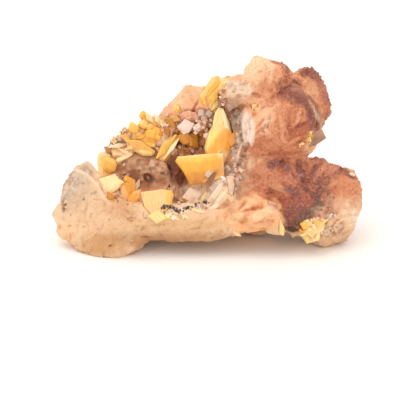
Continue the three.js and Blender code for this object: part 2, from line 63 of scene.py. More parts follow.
def sightLine(across, up):
    # from the eye through a place on the display plane
    target = display["centre"] + Vector((across * mm, 0, 0)) + upward * up * mm
    return (target - eye).normalized()


def linear(hexColour):
    values = [int(hexColour[i : i + 2], 16) / 255 for i in (1, 3, 5)]
    return np.array([v / 12.92 if v <= 0.04045 else ((v + 0.055) / 1.055) ** 2.4 for v in values])


def pick(piece):
    bpy.ops.object.select_all(action="DESELECT")
    piece.select_set(True)
    bpy.context.view_layer.objects.active = piece


def smoothShade(piece):
    pick(piece)
    bpy.ops.object.shade_smooth()


def modify(piece, kind, **settings):
    pick(piece)
    modifier = piece.modifiers.new(kind.title(), kind)
    for name, value in settings.items():
        setattr(modifier, name, value)
    bpy.ops.object.modifier_apply(modifier=modifier.name)


def addPiece(name, mesh):
    piece = bpy.data.objects.new(name, mesh)
    bpy.context.scene.collection.objects.link(piece)
    return piece


def editWhole(piece, *steps):
    # each step is a mesh operator and its settings, and works on the whole mesh
    pick(piece)
    bpy.ops.object.mode_set(mode="EDIT")
    bpy.ops.mesh.select_all(action="SELECT")
    for operator, settings in steps:
        operator(**settings)
    bpy.ops.object.mode_set(mode="OBJECT")


def mergedCopy(nodeName, pieceName):
    # a CAD node is loose triangles, so its copy is merged before anything else
    piece = addPiece(pieceName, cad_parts[nodeName].data.copy())
    editWhole(piece, (bpy.ops.mesh.remove_doubles, {"threshold": 0.001 * mm}))
    piece.data.materials.clear()
    return piece


def remeshed(piece, swell, voxel):
    # swollen a little, then made of even faces, both in millimetres
    modify(piece, "DISPLACE", strength=swell * mm, mid_level=0)
    modify(piece, "REMESH", mode="VOXEL", voxel_size=voxel * mm)


def read(held, name):
    flat = np.empty(len(held) * 3)
    held.foreach_get(name, flat)
    return flat.reshape(-1, 3)


def vertices(piece):
    return read(piece.data.vertices, "co")


def normals(piece):
    return read(piece.data.vertex_normals, "vector")


def setVertices(piece, points):
    piece.data.vertices.foreach_set("co", points.ravel())
    piece.data.update()


def surfaceTree(piece):
    mesh = piece.data
    return BVHTree.FromPolygons([v.co for v in mesh.vertices], [p.vertices for p in mesh.polygons])


seedStep = 17.3  # how far apart in space two seeds of a noise lie
lacunarity = 2.1  # how much finer each octave of a noise is


def noiseAt(points, width, seed, octaves=2):
    # signed noise whose lumps are about width millimetres wide
    scaled = points / (width * mm) + seed * seedStep
    return np.array([noise.fractal(p, 1.0, lacunarity, octaves) for p in scaled])


facetSlopes = [Vector(k) for k in ((3, 7, 5), (5, 2, 9), (8, 5, 3))]
facetScatter = 43.7


def hackly(points, width, seed):
    # flat facets about width millimetres across, each tilted its own way, as on broken stone
    heights = np.empty(len(points))
    for i, place in enumerate(points / (width * mm) + seed * seedStep):
        centre = noise.voronoi(place)[1][0]
        tilt = [math.sin(centre.dot(slope) * facetScatter) for slope in facetSlopes]
        heights[i] = (Vector(place) - centre).dot(tilt)
    return heights


# Strokes are ellipses on the display plane that stain, lift or roughen a surface.
# lift is in millimetres; sugar is 0 for smooth limestone and 1 for sparkling calcite; patchy is
# how long and wide the patches are that a stroke is broken into; crest is how far a sharp crest
# along the stroke falls away on each side; a stroke stains the front, unless it is through or behind.
brush = {
    "edge": 0.3,  # the soft edge, as a share of the stroke's size
    "ragged": 0.25,
    "rippleWidth": 2.2,
    "turnAway": 0.3,  # how soon a stroke fades as the surface turns from the eye
    "plainSugar": 0.1,
    "patchBase": 0.45,
    "patchContrast": 1.9,
    "faint": 0.01,  # what is fainter isn't broken into patches
    "crestEnd": (1.3, 0.5),  # where a crest ends, and how gradually
}


def stroke(across, up, long, wide, turn=0, tint=None, lift=None, **more):
    # the longer way is turned anticlockwise from level, in degrees
    made = {"at": (across, up), "size": (long, wide), "turn": turn, **more}
    given = {"tint": tint, "lift": lift}
    return made | {name: value for name, value in given.items() if value is not None}


def alike(rows, **shared):
    return [stroke(*row, **shared) for row in rows]


def vein(points, width, tint=None, **more):
    # a stroke for each run between neighbouring points
    made = []
    for (x0, y0), (x1, y1) in zip(points, points[1:]):
        turn = math.degrees(math.atan2(y1 - y0, x1 - x0))
        long = (math.hypot(x1 - x0, y1 - y0) + width) / 2
        made.append(stroke((x0 + x1) / 2, (y0 + y1) / 2, long, width, turn, tint, **more))
    return made


def alongAside(stroke, canvas):
    # how far each vertex lies along the stroke and to its side, in millimetres
    turn = math.radians(stroke["turn"])
    offset = canvas["places"] - np.array(stroke["at"])
    along = offset[:, 0] * math.cos(turn) + offset[:, 1] * math.sin(turn)
    return along, offset[:, 1] * math.cos(turn) - offset[:, 0] * math.sin(turn)


def reach(stroke, canvas):
    # 1 inside the stroke's ellipse, 0 outside it, with a soft, ragged edge
    along, aside = alongAside(stroke, canvas)
    edge = stroke.get("edge", brush["edge"])
    far = np.hypot(along / stroke["size"][0], aside / stroke["size"][1])
    far += stroke.get("ragged", brush["ragged"]) * canvas["ripple"]
    t = np.clip((1 + edge - far) / (2 * edge), 0, 1)
    cover = t * t * (3 - 2 * t) * stroke.get("strength", 1)
    if stroke.get("behind"):
        cover = cover * (1 - canvas["facing"])
    elif not stroke.get("through"):
        cover = cover * canvas["facing"]
    if "patchy" in stroke:
        long, wide = stroke["patchy"]
        for i in np.nonzero(cover > brush["faint"])[0]:
            place = Vector((along[i] / long, aside[i] / wide, stroke["at"][0]))
            patch = brush["patchContrast"] * noise.fractal(place, 1.0, lacunarity, 3)
            cover[i] *= min(1, max(0, brush["patchBase"] + patch))
    return cover


def canvasOf(piece):
    # what the strokes need to know of every vertex
    points = vertices(piece)
    facing = -normals(piece) @ np.array(sight)
    return {
        "places": displayPlaces(points),
        "ripple": noiseAt(points, brush["rippleWidth"], 1),
        "facing": np.clip(0.5 + facing / brush["turnAway"], 0, 1),
    }


def crestOf(stroke, canvas):
    along, aside = alongAside(stroke, canvas)
    above, below = stroke["crest"]
    fall = np.clip(1 - np.abs(aside) / np.where(aside > 0, above, below), 0, 1)
    end, fade = brush["crestEnd"]
    ends = np.clip((end - np.abs(along) / stroke["size"][0]) / fade, 0, 1)
    return fall * ends * canvas["facing"]


def liftOf(strokes, canvas):
    # the strokes' lift, added up
    worked = np.zeros(len(canvas["places"]))
    for stroke in strokes:
        if "lift" in stroke:
            cover = crestOf(stroke, canvas) if "crest" in stroke else reach(stroke, canvas)
            worked += stroke["lift"] * cover
    return worked


def sugarOf(strokes, canvas):
    # how sugary the stone is, each stroke laid over the last
    worked = np.full(len(canvas["places"]), brush["plainSugar"])
    for stroke in strokes:
        if "sugar" in stroke:
            worked += (stroke["sugar"] - worked) * reach(stroke, canvas)
    return worked


def paint(piece, ground, strokes, canvas):
    # the stain of every vertex, as the colour attribute that the materials read
    colours = np.tile(linear(ground), (len(canvas["places"]), 1))
    for stroke in strokes:
        if "tint" in stroke:
            colours += (linear(stroke["tint"]) - colours) * reach(stroke, canvas)[:, None]
    setTint(piece, colours)
    return colours


def setTint(piece, colours):
    held = piece.data.color_attributes
    stain = held.get("tint") or held.new("tint", "FLOAT_COLOR", "POINT")
    rgba = np.column_stack([colours, np.ones(len(colours))])
    stain.data.foreach_set("color", rgba.ravel())


def setNumber(piece, name, values):
    held = piece.data.attributes.new(name, "FLOAT", "POINT")
    held.data.foreach_set("value", values.astype(np.float32))


hollows = {"factor": 0.8, "iterations": 14, "deep": 0.35}


def measureHollows(piece):
    # how far each vertex lies under the smoothed surface: crevices are positive
    smooth = addPiece("smoothed", piece.data.copy())
    modify(smooth, "SMOOTH", factor=hollows["factor"], iterations=hollows["iterations"])
    under = ((vertices(smooth) - vertices(piece)) * normals(smooth)).sum(1)
    bpy.data.objects.remove(smooth)
    setNumber(piece, "hollow", np.clip(under / (hollows["deep"] * mm), -1, 1))


def finishPiece(piece, material, nodeName=None):
    piece.data.materials.append(material)
    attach(piece, "root")
    if nodeName:
        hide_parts(nodeName)


def setInputs(tree, node, inputs):
    # a socket is linked, and anything else, such as a hex colour, is the input's own value
    for name, value in inputs.items():
        if isinstance(value, bpy.types.NodeSocket):
            tree.links.new(value, node.inputs[name])
        elif isinstance(value, str):
            node.inputs[name].default_value = (*linear(value), 1)
        else:
            node.inputs[name].default_value = value


def addNode(tree, kind, output, inputs, **settings):
    # a node with its settings and links, which gives the output that is asked for
    node = tree.nodes.new("ShaderNode" + kind)
    for name, value in settings.items():
        setattr(node, name, value)
    setInputs(tree, node, inputs)
    return node.outputs[output]


def newMaterial(name):
    material = bpy.data.materials.new(name)
    material.use_nodes = True
    return material, material.node_tree, material.node_tree.nodes["Principled BSDF"]


def newMineral(name):
    # a material that starts from the piece's own stain, and from its own place in space
    material, tree, surface = newMaterial(name)
    tint = addNode(tree, "Attribute", "Color", {}, attribute_name="tint")
    return material, tree, surface, tint, addNode(tree, "TexCoord", "Object", {})


def laidOver(tree, under, over, blend, pattern, span, where=None):
    # a colour laid over another as a pattern goes from one value to a second, and so much of it;
    # a Mix node's sockets are 0 for its factor, 6 and 7 for its colours, and output 2
    start, end, most = span
    limits = {"Value": pattern, "From Min": start, "From Max": end, "To Max": most}
    share = addNode(tree, "MapRange", "Result", limits)
    if where is not None:
        share = addNode(tree, "Math", 0, {0: share, 1: where}, operation="MULTIPLY")
    colours = {0: share, 6: under, 7: over}
    return addNode(tree, "Mix", 2, colours, data_type="RGBA", blend_type=blend)


# Limestone and sugary calcite, weathered and rust-stained: dull where it is fine-grained
# limestone, sparkling with sub-millimetre cleavage faces where it is calcite, their glints painted;
# painted shade lies in its crevices and a painted highlight on its crests.
def weatheredLimestone():
    material, tree, surface, tint, place = newMineral("weathered_limestone")
    sugar = addNode(tree, "Attribute", "Fac", {}, attribute_name="sugar")
    hollow = addNode(tree, "Attribute", "Fac", {}, attribute_name="hollow")
    # rust and clay stain the stone in patches of 2 to 3 mm
    blotch = addNode(tree, "TexNoise", "Fac", {"Vector": place, "Scale": 1 / (2.4 * mm), "Detail": 3})
    stained = laidOver(tree, tint, "#f7efe5", "MULTIPLY", blotch, (0.4, 0.65, 0.5))
    # dark mineral specks half a millimetre across, and between them, where the stone is sugary,
    # painted glints: paler spots for cleavage faces that catch the light
    speck = addNode(tree, "TexNoise", "Fac", {"Vector": place, "Scale": 1 / (0.5 * mm), "Detail": 2})
    specked = laidOver(tree, stained, "#e7d7cb", "MULTIPLY", speck, (0.54, 0.68, 0.5))
    paintedGlints = laidOver(tree, specked, "#bc9b86", "SCREEN", speck, (0.46, 0.34, 0.3), sugar)
    # painted shade in the crevices, and a painted highlight that pales the crests
    creviceShade = laidOver(tree, paintedGlints, "#ceaf9e", "MULTIPLY", hollow, (0.1, 1, 0.75))
    crestHighlight = laidOver(tree, creviceShade, "#b39b84", "SCREEN", hollow, (-0.2, -1, 0.15))
    gloss = addNode(tree, "MapRange", "Result", {"Value": sugar, "To Min": 0.85, "To Max": 0.6})
    grit = addNode(tree, "TexNoise", "Fac", {"Vector": place, "Scale": 1 / (0.35 * mm), "Detail": 3})
    bite = addNode(tree, "MapRange", "Result", {"Value": sugar, "To Min": 0.35, "To Max": 0.9})
    rough = {"Height": grit, "Strength": bite, "Distance": 0.16 * mm}
    relief = addNode(tree, "Bump", "Normal", rough)
    setInputs(tree, surface, {"Base Color": crestHighlight, "Roughness": gloss, "Normal": relief})
    return material


# Wulfenite, lead molybdate: butterscotch, resinous to waxy, lit from within at thin edges, with
# fine growth lines across its plates.
def butterscotchWulfenite():
    material, tree, surface, tint, place = newMineral("butterscotch_wulfenite")
    # growth lines 0.4 mm apart, drawn out along the plates
    along = {"Vector": place, "Rotation": (0.3, 0.75, 0.2), "Scale": (1, 0.3, 0.14)}
    drawn = addNode(tree, "Mapping", "Vector", along)
    line = addNode(tree, "TexNoise", "Fac", {"Vector": drawn, "Scale": 1 / (0.4 * mm), "Detail": 2})
    ruled = laidOver(tree, tint, "#f3ddb3", "MULTIPLY", line, (0.5, 0.68, 0.55))
    # milky clouds inside, 1 to 2 mm wide
    cloud = addNode(tree, "TexNoise", "Fac", {"Vector": place, "Scale": 1 / (1.5 * mm), "Detail": 3})
    clouded = laidOver(tree, ruled, "#bca059", "SCREEN", cloud, (0.5, 0.72, 0.2))
    waxy = {"Value": cloud, "From Min": 0.3, "From Max": 0.7, "To Min": 0.3, "To Max": 0.48}
    wax = addNode(tree, "MapRange", "Result", waxy)
    relief = addNode(tree, "Bump", "Normal", {"Height": line, "Strength": 0.6, "Distance": 0.1 * mm})
    # wulfenite's own IOR is about 2.4, but waxy faces shine less
    lit = {"IOR": 1.6, "Subsurface Weight": 0.25, "Subsurface Radius": (1.0, 0.8, 0.45)}
    lit["Subsurface Scale"] = 0.3 * mm
    setInputs(tree, surface, {"Base Color": clouded, "Roughness": wax, "Normal": relief, **lit})
    return material


# Calcite: glassy cleavage rhombs, milky and faintly pink, with ragged veils inside.
def milkyCalcite():
    material, tree, surface, tint, place = newMineral("milky_calcite")
    veil = addNode(tree, "TexNoise", "Fac", {"Vector": place, "Scale": 1 / (0.8 * mm), "Detail": 3})
    veiled = laidOver(tree, tint, "#efe5df", "MULTIPLY", veil, (0.45, 0.7, 0.6))
    relief = addNode(tree, "Bump", "Normal", {"Height": veil, "Strength": 0.6, "Distance": 0.1 * mm})
    lit = {"IOR": 1.6, "Subsurface Weight": 0.2, "Subsurface Radius": (1.0, 0.8, 0.7)}
    lit["Subsurface Scale"] = 0.8 * mm
    setInputs(tree, surface, {"Base Color": veiled, "Roughness": 0.4, "Normal": relief, **lit})
    return material


# Manganese oxide: a black sooty crust of tiny beads.
def manganeseOxide():
    material, tree, surface, tint, place = newMineral("manganese_oxide")
    soot = addNode(tree, "TexNoise", "Fac", {"Vector": place, "Scale": 1 / (0.3 * mm), "Detail": 2})
    sooty = laidOver(tree, tint, "#cbc4bc", "MULTIPLY", soot, (0, 1, 1))
    relief = addNode(tree, "Bump", "Normal", {"Height": soot, "Strength": 0.7, "Distance": 0.08 * mm})
    setInputs(tree, surface, {"Base Color": sooty, "Roughness": 0.6, "Normal": relief})
    return material


limestone = weatheredLimestone()
wulfenite = butterscotchWulfenite()
calcite = milkyCalcite()
manganese = manganeseOxide()
print("materials made")

crystalFinish = {
    "sameFace": 0.5,  # degrees: triangles that lie as flat as this are one face
    "terrace": {"from": 6, "inset": 0.3, "step": 0.07},  # growth steps on faces over 6 mm2
    "bevel": {"width": 0.05, "sharper": 12},
    "cuts": 3,
    # the rim's tint is painted light: slender faces are painted paler for thin edges lit through
    "rim": {"slender": 0.034, "tint": "#ffe8b8", "glow": 0.35},  # slender faces are lit through
    "uneven": {"width": 0.9, "height": 0.02},
    "smoothUnder": 7,
}
wulfeniteTints = {
    "wulfenite_centre_pair": "#f9ae34",
    "wulfenite_left_guard": "#ffcc64",
    "wulfenite_pale_leaf": "#fbdaa0",
    "wulfenite_low_pair": "#eda438",
    "wulfenite_front_plate": "#f9c684",
    "wulfenite_top_stack": "#f8b842",
    "wulfenite_ridge_slivers": "#fbd4a0",
    "wulfenite_ridge_knobs": "#f8bc50",
    "wulfenite_middle_leaf": "#ffd67c",
    "wulfenite_tilted_lens": "#f2b04c",
    "wulfenite_shadow_cluster": "#dc922c",
    "wulfenite_behind_blade": "#e59a2c",
    "wulfenite_ridge_nodule": "#f6ca64",
    "wulfenite_side_fleck": "#f6d690",
    "wulfenite_corner_crumbs": "#f4d284",
    "wulfenite_side_wedge": "#efbc5a",
}
calciteTints = {
    "calcite_side_plate": "#bd9272",
    "calcite_rhomb_upper": "#f6dac8",
    "calcite_rhomb_lower": "#f3dac8",
    "calcite_saw_ridge": "#fde0c0",
    "calcite_wall_blades": "#e8c8ac",
}
crystalStrokes = [
    # the tall blade: pale tip, gold middle, a painted highlight down its left side and painted shade on
    # its right edge
    stroke(5, 21, 2.8, 4.4, 0, "#fff0ac", edge=0.4),
    *alike([(2.6, 15.6, 1, 5, -28, "#ffe286"), (5.9, 14.6, 1.1, 4, 0, "#eda435")], edge=0.5),
    # the wide plate: a painted highlight on its upper edge, painted shade on its lower edge and a brownish
    # right end
    *alike([
        (-1, 10.6, 6.5, 0.8, 6, "#fcc860"), (-0.6, 5.2, 4.4, 1.8, 0, "#d08420"),
        (4.6, 7, 1.4, 2, 0, "#e2a04c"),
    ], edge=0.6),
    stroke(5.6, 11.4, 0.8, 1, 0, "#fadc9c", edge=0.5),
    # left guard: its upper half is a facet painted paler, a painted highlight where light falls on it
    *alike([(-24.6, 10.4, 1.4, 2.6, 10, "#fbd88c"), (-22.2, 8.6, 1.4, 2.2, 0, "#f0aa3c")], edge=0.5),
    # front plate: a deeper right side
    stroke(-7.6, 0.4, 0.9, 2.6, 0, "#f2b850", edge=0.6),
    # tilted lens: its thin right edge is painted paler, painted light for an edge lit through
    stroke(-7.6, 14.4, 0.45, 3.6, -30, "#fbe4a8", edge=0.5),
    # top stack: dark growth lines
    *alike([
        (2.6, 26.6, 3.6, 0.12, 48, "#b07a26"), (3.6, 25.4, 3, 0.1, 48, "#b8822c"),
        (4.6, 27.8, 1.4, 1.6, 0, "#fad88a"),
    ], edge=0.6),
    # side plate: its lower half is in shade
    stroke(29.4, 14.8, 2.4, 1.1, 20, "#a27658", edge=0.5),
]
terraced = ["wulfenite_centre_pair", "wulfenite_front_plate", "wulfenite_pale_leaf"]


def selectLarge(piece, minArea):
    # in edit mode, the faces larger than so many square millimetres
    bpy.ops.mesh.select_all(action="DESELECT")
    bpy.ops.object.mode_set(mode="OBJECT")
    large = [face for face in piece.data.polygons if face.area > minArea * mm * mm]
    for face in large:
        face.select = True
    bpy.ops.object.mode_set(mode="EDIT")
    return len(large)


def markRims(piece):
    # a slender face's material index is 1 until it is painted
    for face in piece.data.polygons:
        corners = [piece.data.vertices[i].co for i in face.vertices]
        girth = sum((a - b).length for a, b in zip(corners, corners[1:] + corners[:1]))
        face.material_index = int(face.area < crystalFinish["rim"]["slender"] * girth * girth)


# painted light: slender wulfenite faces are tinted paler, standing in for light through thin edges
def paintRimLight(piece, colours):
    rim = crystalFinish["rim"]
    lit = list({i for face in piece.data.polygons if face.material_index for i in face.vertices})
    colours[lit] += (linear(rim["tint"]) - colours[lit]) * rim["glow"]
    setTint(piece, colours)


def dressCrystal(nodeName, ground, material):
    piece = mergedCopy(nodeName, nodeName + "_crystal")
    terrace, bevel, uneven = [crystalFinish[key] for key in ("terrace", "bevel", "uneven")]
    sameFace = {"angle_limit": math.radians(crystalFinish["sameFace"])}
    editWhole(piece, (bpy.ops.mesh.dissolve_limited, sameFace))
    markRims(piece)
    bpy.ops.object.mode_set(mode="EDIT")
    if nodeName in terraced and selectLarge(piece, terrace["from"]):
        bpy.ops.mesh.inset(
            thickness=terrace["inset"] * mm, depth=terrace["step"] * mm, use_individual=True
        )
    bpy.ops.object.mode_set(mode="OBJECT")
    limit = {"limit_method": "ANGLE", "angle_limit": math.radians(bevel["sharper"])}
    modify(piece, "BEVEL", width=bevel["width"] * mm, segments=1, **limit)
    cuts = {"number_cuts": crystalFinish["cuts"]}
    editWhole(piece, (bpy.ops.mesh.quads_convert_to_tris, {}), (bpy.ops.mesh.subdivide, cuts))
    points = vertices(piece)
    height = noiseAt(points, uneven["width"], 3) * uneven["height"] * mm
    setVertices(piece, points + normals(piece) * height[:, None])
    bpy.ops.object.shade_smooth_by_angle(angle=math.radians(crystalFinish["smoothUnder"]))
    colours = paint(piece, ground, crystalStrokes, canvasOf(piece))
    if material == wulfenite:
        paintRimLight(piece, colours)
    for face in piece.data.polygons:
        face.material_index = 0
    finishPiece(piece, material, nodeName)
    return piece


dressed = [dressCrystal(n, tint, wulfenite) for n, tint in wulfeniteTints.items()]
dressed += [dressCrystal(n, tint, calcite) for n, tint in calciteTints.items()]
crystalTrees = [surfaceTree(piece) for piece in dressed]
print("crystals dressed", len(dressed))

# Small shapes, a millimetre long, each modelled once and copied wherever it is needed.
def shaped(squash=(1, 1, 1), bevel=0):
    # the shape just added, as its corners and faces
    piece = bpy.context.active_object
    piece.scale = squash
    if bevel:
        modify(piece, "BEVEL", width=bevel, segments=1)
    bpy.ops.object.transform_apply(location=False, rotation=True, scale=True)
    corners = vertices(piece)
    faces = [tuple(face.vertices) for face in piece.data.polygons]
    mesh = piece.data
    bpy.data.objects.remove(piece)
    bpy.data.meshes.remove(mesh)
    return corners, faces


smallShapes = {}
# a square tabular crystal, its edges bevelled as wulfenite's are
bpy.ops.mesh.primitive_cylinder_add(vertices=4, radius=0.56, depth=0.24)
smallShapes["plate"] = shaped((1, 0.85, 1), 0.075)
# a cleavage rhomb: a cube flattened along its long diagonal
bpy.ops.mesh.primitive_cube_add(size=0.62)
bpy.context.active_object.rotation_euler = (math.radians(45), math.atan(math.sqrt(0.5)), 0)
bpy.ops.object.transform_apply(rotation=True)
smallShapes["rhomb"] = shaped((1, 1, 0.78), 0.03)
# a thin blade that tapers to a chisel tip
bpy.ops.mesh.primitive_cone_add(vertices=6, radius1=0.2, radius2=0.07, depth=1)
smallShapes["blade"] = shaped((1, 0.4, 1), 0.02)
# an equant crystal with its corners cut off
bpy.ops.mesh.primitive_cube_add(size=0.82)
smallShapes["nugget"] = shaped(bevel=0.2)
# a worn block of rubble
bpy.ops.mesh.primitive_cube_add(size=0.9)
smallShapes["block"] = shaped((1, 0.75, 0.6), 0.12)
# a bead of soot
bpy.ops.mesh.primitive_ico_sphere_add(subdivisions=1, radius=0.5)
smallShapes["bead"] = shaped((1, 0.8, 0.7))


def crumbs(shape, rows, **more):
    # each row is an ellipse on the display plane (across, up, wide, high and turn), how many
    # small shapes lie in it, the limits of their sizes, and their tints
    made = []
    for *where, count, size, tints in rows:
        made.append({"shape": shape, "where": where, "count": count, "size": size, "tints": tints, **more})
    return made


def crystals(shape, rows, **more):
    # single ones: a row is across, up, size, squash, pose and tint, where the pose tips the
    # crystal's flat face back, turns it and swings it, in degrees
    made = []
    for across, up, size, squash, pose, tint in rows:
        row = (across, up, 0, 0, 0, 1, (size, size), [tint])
        made += crumbs(shape, [row], anywhere=True, squash=squash, pose=pose, **more)
    return made


def placeIn(where, chance):
    across, up, wide, high, turn = where
    angle, out = chance.uniform(0, 2 * math.pi), math.sqrt(chance.random())
    u, v = wide * out * math.cos(angle), high * out * math.sin(angle)
    c, s = math.cos(math.radians(turn)), math.sin(math.radians(turn))
    return across + u * c - v * s, up + u * s + v * c


def landing(place, ground, inFront):
    # where the line of sight meets the ground, unless something else is in front of it
    line = sightLine(*place)
    hits = [hit for hit in (tree.ray_cast(eye, line) for tree in ground) if hit[0] is not None]
    if not hits:
        return None
    nearest = min(hits, key=lambda hit: hit[3])
    for tree in inFront:
        other = tree.ray_cast(eye, line)
        if other[0] is not None and other[3] < nearest[3]:
            return None
    return nearest[0], nearest[1]


def nearCrystal(place, distance):
    return any(tree.find_nearest(place, distance)[0] is not None for tree in crystalTrees)


facingUs = Matrix((Vector((1, 0, 0)), sight, upward)).transposed()


def turnOf(row, normal, chance):
    if "pose" in row:
        tip, turn, swing = [math.radians(angle) for angle in row["pose"]]
        return facingUs @ Euler((math.pi / 2 + tip, turn, swing)).to_matrix()
    if "lean" in row:
        # stands out from the surface, leaning by up to so many degrees
        away = Vector([chance.gauss(0, 1) for _ in range(3)]).normalized()
        lean = math.radians(row["lean"]) * chance.random()
        towards = (normal * math.cos(lean) + away * math.sin(lean)).normalized()
        spin = Euler((0, 0, chance.uniform(0, 2 * math.pi))).to_matrix()
        return towards.to_track_quat("Z", "Y").to_matrix() @ spin
    return Euler([chance.uniform(0, 2 * math.pi) for _ in range(3)]).to_matrix()


loose = {"squash": (0.75, 1.15), "shade": (0.9, 1.06), "bury": 0.25}


def sprinkle(name, rows, seed, ground=(), inFront=(), spots=None):
    # small shapes where they land, or on given spots, joined as one mesh
    chance = random.Random(seed)
    corners, faces, colours = [], [], []
    for row in rows:
        shape, shapeFaces = smallShapes[row["shape"]]
        for _ in range(row["count"]):
            if spots:
                found = chance.choice(spots)
            elif row.get("anywhere"):
                found = landing(placeIn(row["where"], chance), [*ground, *inFront], ())
            else:
                found = landing(placeIn(row["where"], chance), ground, inFront)
            size = chance.uniform(*row["size"]) * mm
            squash = row.get("squash") or [chance.uniform(*loose["squash"]) for _ in range(3)]
            shade = chance.uniform(*loose["shade"])
            if found is None or "clear" in row and nearCrystal(found[0], size * row["clear"]):
                continue
            turn = turnOf(row, found[1], chance)
            solid = [turn @ (Vector(c) * Vector(squash)) * size for c in shape]
            out = -sight if "pose" in row else found[1]
            heights = [corner.dot(out) for corner in solid]
            low, high = min(heights), max(heights)
            at = found[0] - out * (low + (high - low) * row.get("bury", loose["bury"]))
            tint = found[2] if row["tints"] is None else linear(chance.choice(row["tints"]))
            first = len(corners)
            corners.extend(at + corner for corner in solid)
            faces.extend(tuple(first + i for i in face) for face in shapeFaces)
            colours.extend([[value * shade for value in tint]] * len(shape))
    mesh = bpy.data.meshes.new(name)
    mesh.from_pydata(corners, [], faces)
    piece = addPiece(name, mesh)
    setTint(piece, np.array(colours))
    return piece


butter = ["#fad080", "#f6bc54", "#f0aa3c", "#fbdc9c"]
pale = ["#fce4b8", "#fad898", "#f6ca80", "#fbe8c8"]
amber = ["#c8842f", "#ad6e28", "#d8963a", "#b87c40"]
milky = ["#f3d8c4", "#ecc8ae", "#e0b89c", "#f6e2d2"]
ashen = ["#c4b0a0", "#a8968a", "#dacabc", "#94837a"]
wallStone = ["#dcba9c", "#c9a488", "#e6cab0", "#b48e76"]
rusty = ["#b8785c", "#9a5c44", "#cc9074", "#7c5042"]

rock = {
    "clearance": 0.38,  # the solids' gap round each crystal, closed by swelling the rock
    "nearCrystals": (0.5, 1.5),  # nearer than this the rock isn't sculpted, and farther fully
    "lookAround": 2.0,
    "voxel": 0.3,
    "triangles": 190000,
    "ground": "#e9c29c",
    # a relief's share is how much of it is on plain limestone, and on sugary calcite
    "lumps": {"width": 3.4, "height": 0.4, "share": (0.4, 1)},
    "breaks": {"width": 2.6, "height": 0.34, "share": (1, 0.25)},  # hackly facets
    "sugarGrains": {"width": 0.6, "height": 0.24, "share": (0.1, 1)},
}

# rubble that is one with the rock: the grey wall, the ridge at the pocket's left and its floor
rubble = []
for *where, count, size, bury in [
    (8.2, 8.6, 2.4, 5.4, 0, 34, (2.2, 4.4), 0.8), (9.4, 27.4, 4, 1.8, 0, 20, (1.6, 3.4), 0.83),
    (8.2, 21.6, 2.4, 2.4, 0, 20, (1.2, 2.4), 0.67), (11.8, 17.6, 0.6, 3.4, 0, 12, (2.2, 3.6), 0.78),
    (5.8, 25.6, 1.6, 2.2, 0, 16, (0.9, 1.8), 0.5), (-20.5, 14.6, 4.6, 2.2, 30, 50, (1, 2.4), 0.5),
    (-14, 19, 4, 2, 32, 26, (1.2, 2.6), 0.5), (-10.6, 15.6, 3.6, 3, 0, 34, (1, 2.4), 0.5),
    (-14.4, 8.4, 6, 3.2, 0, 26, (2.4, 5.2), 0.83), (-1.5, 0.8, 5.6, 2.6, 0, 26, (1.2, 2.8), 0.72),
    (0.6, 19.4, 3.4, 2.6, 0, 30, (1, 2.2), 0.56), (33, -7.6, 3.2, 2.6, 0, 26, (1, 2.2), 0.56),
    (-18, -0.4, 4, 1.2, -28, 16, (0.8, 1.8), 0.61),
]:
    rubble += crumbs("block", [(*where, count, size, ashen)], bury=bury, clear=0.55)

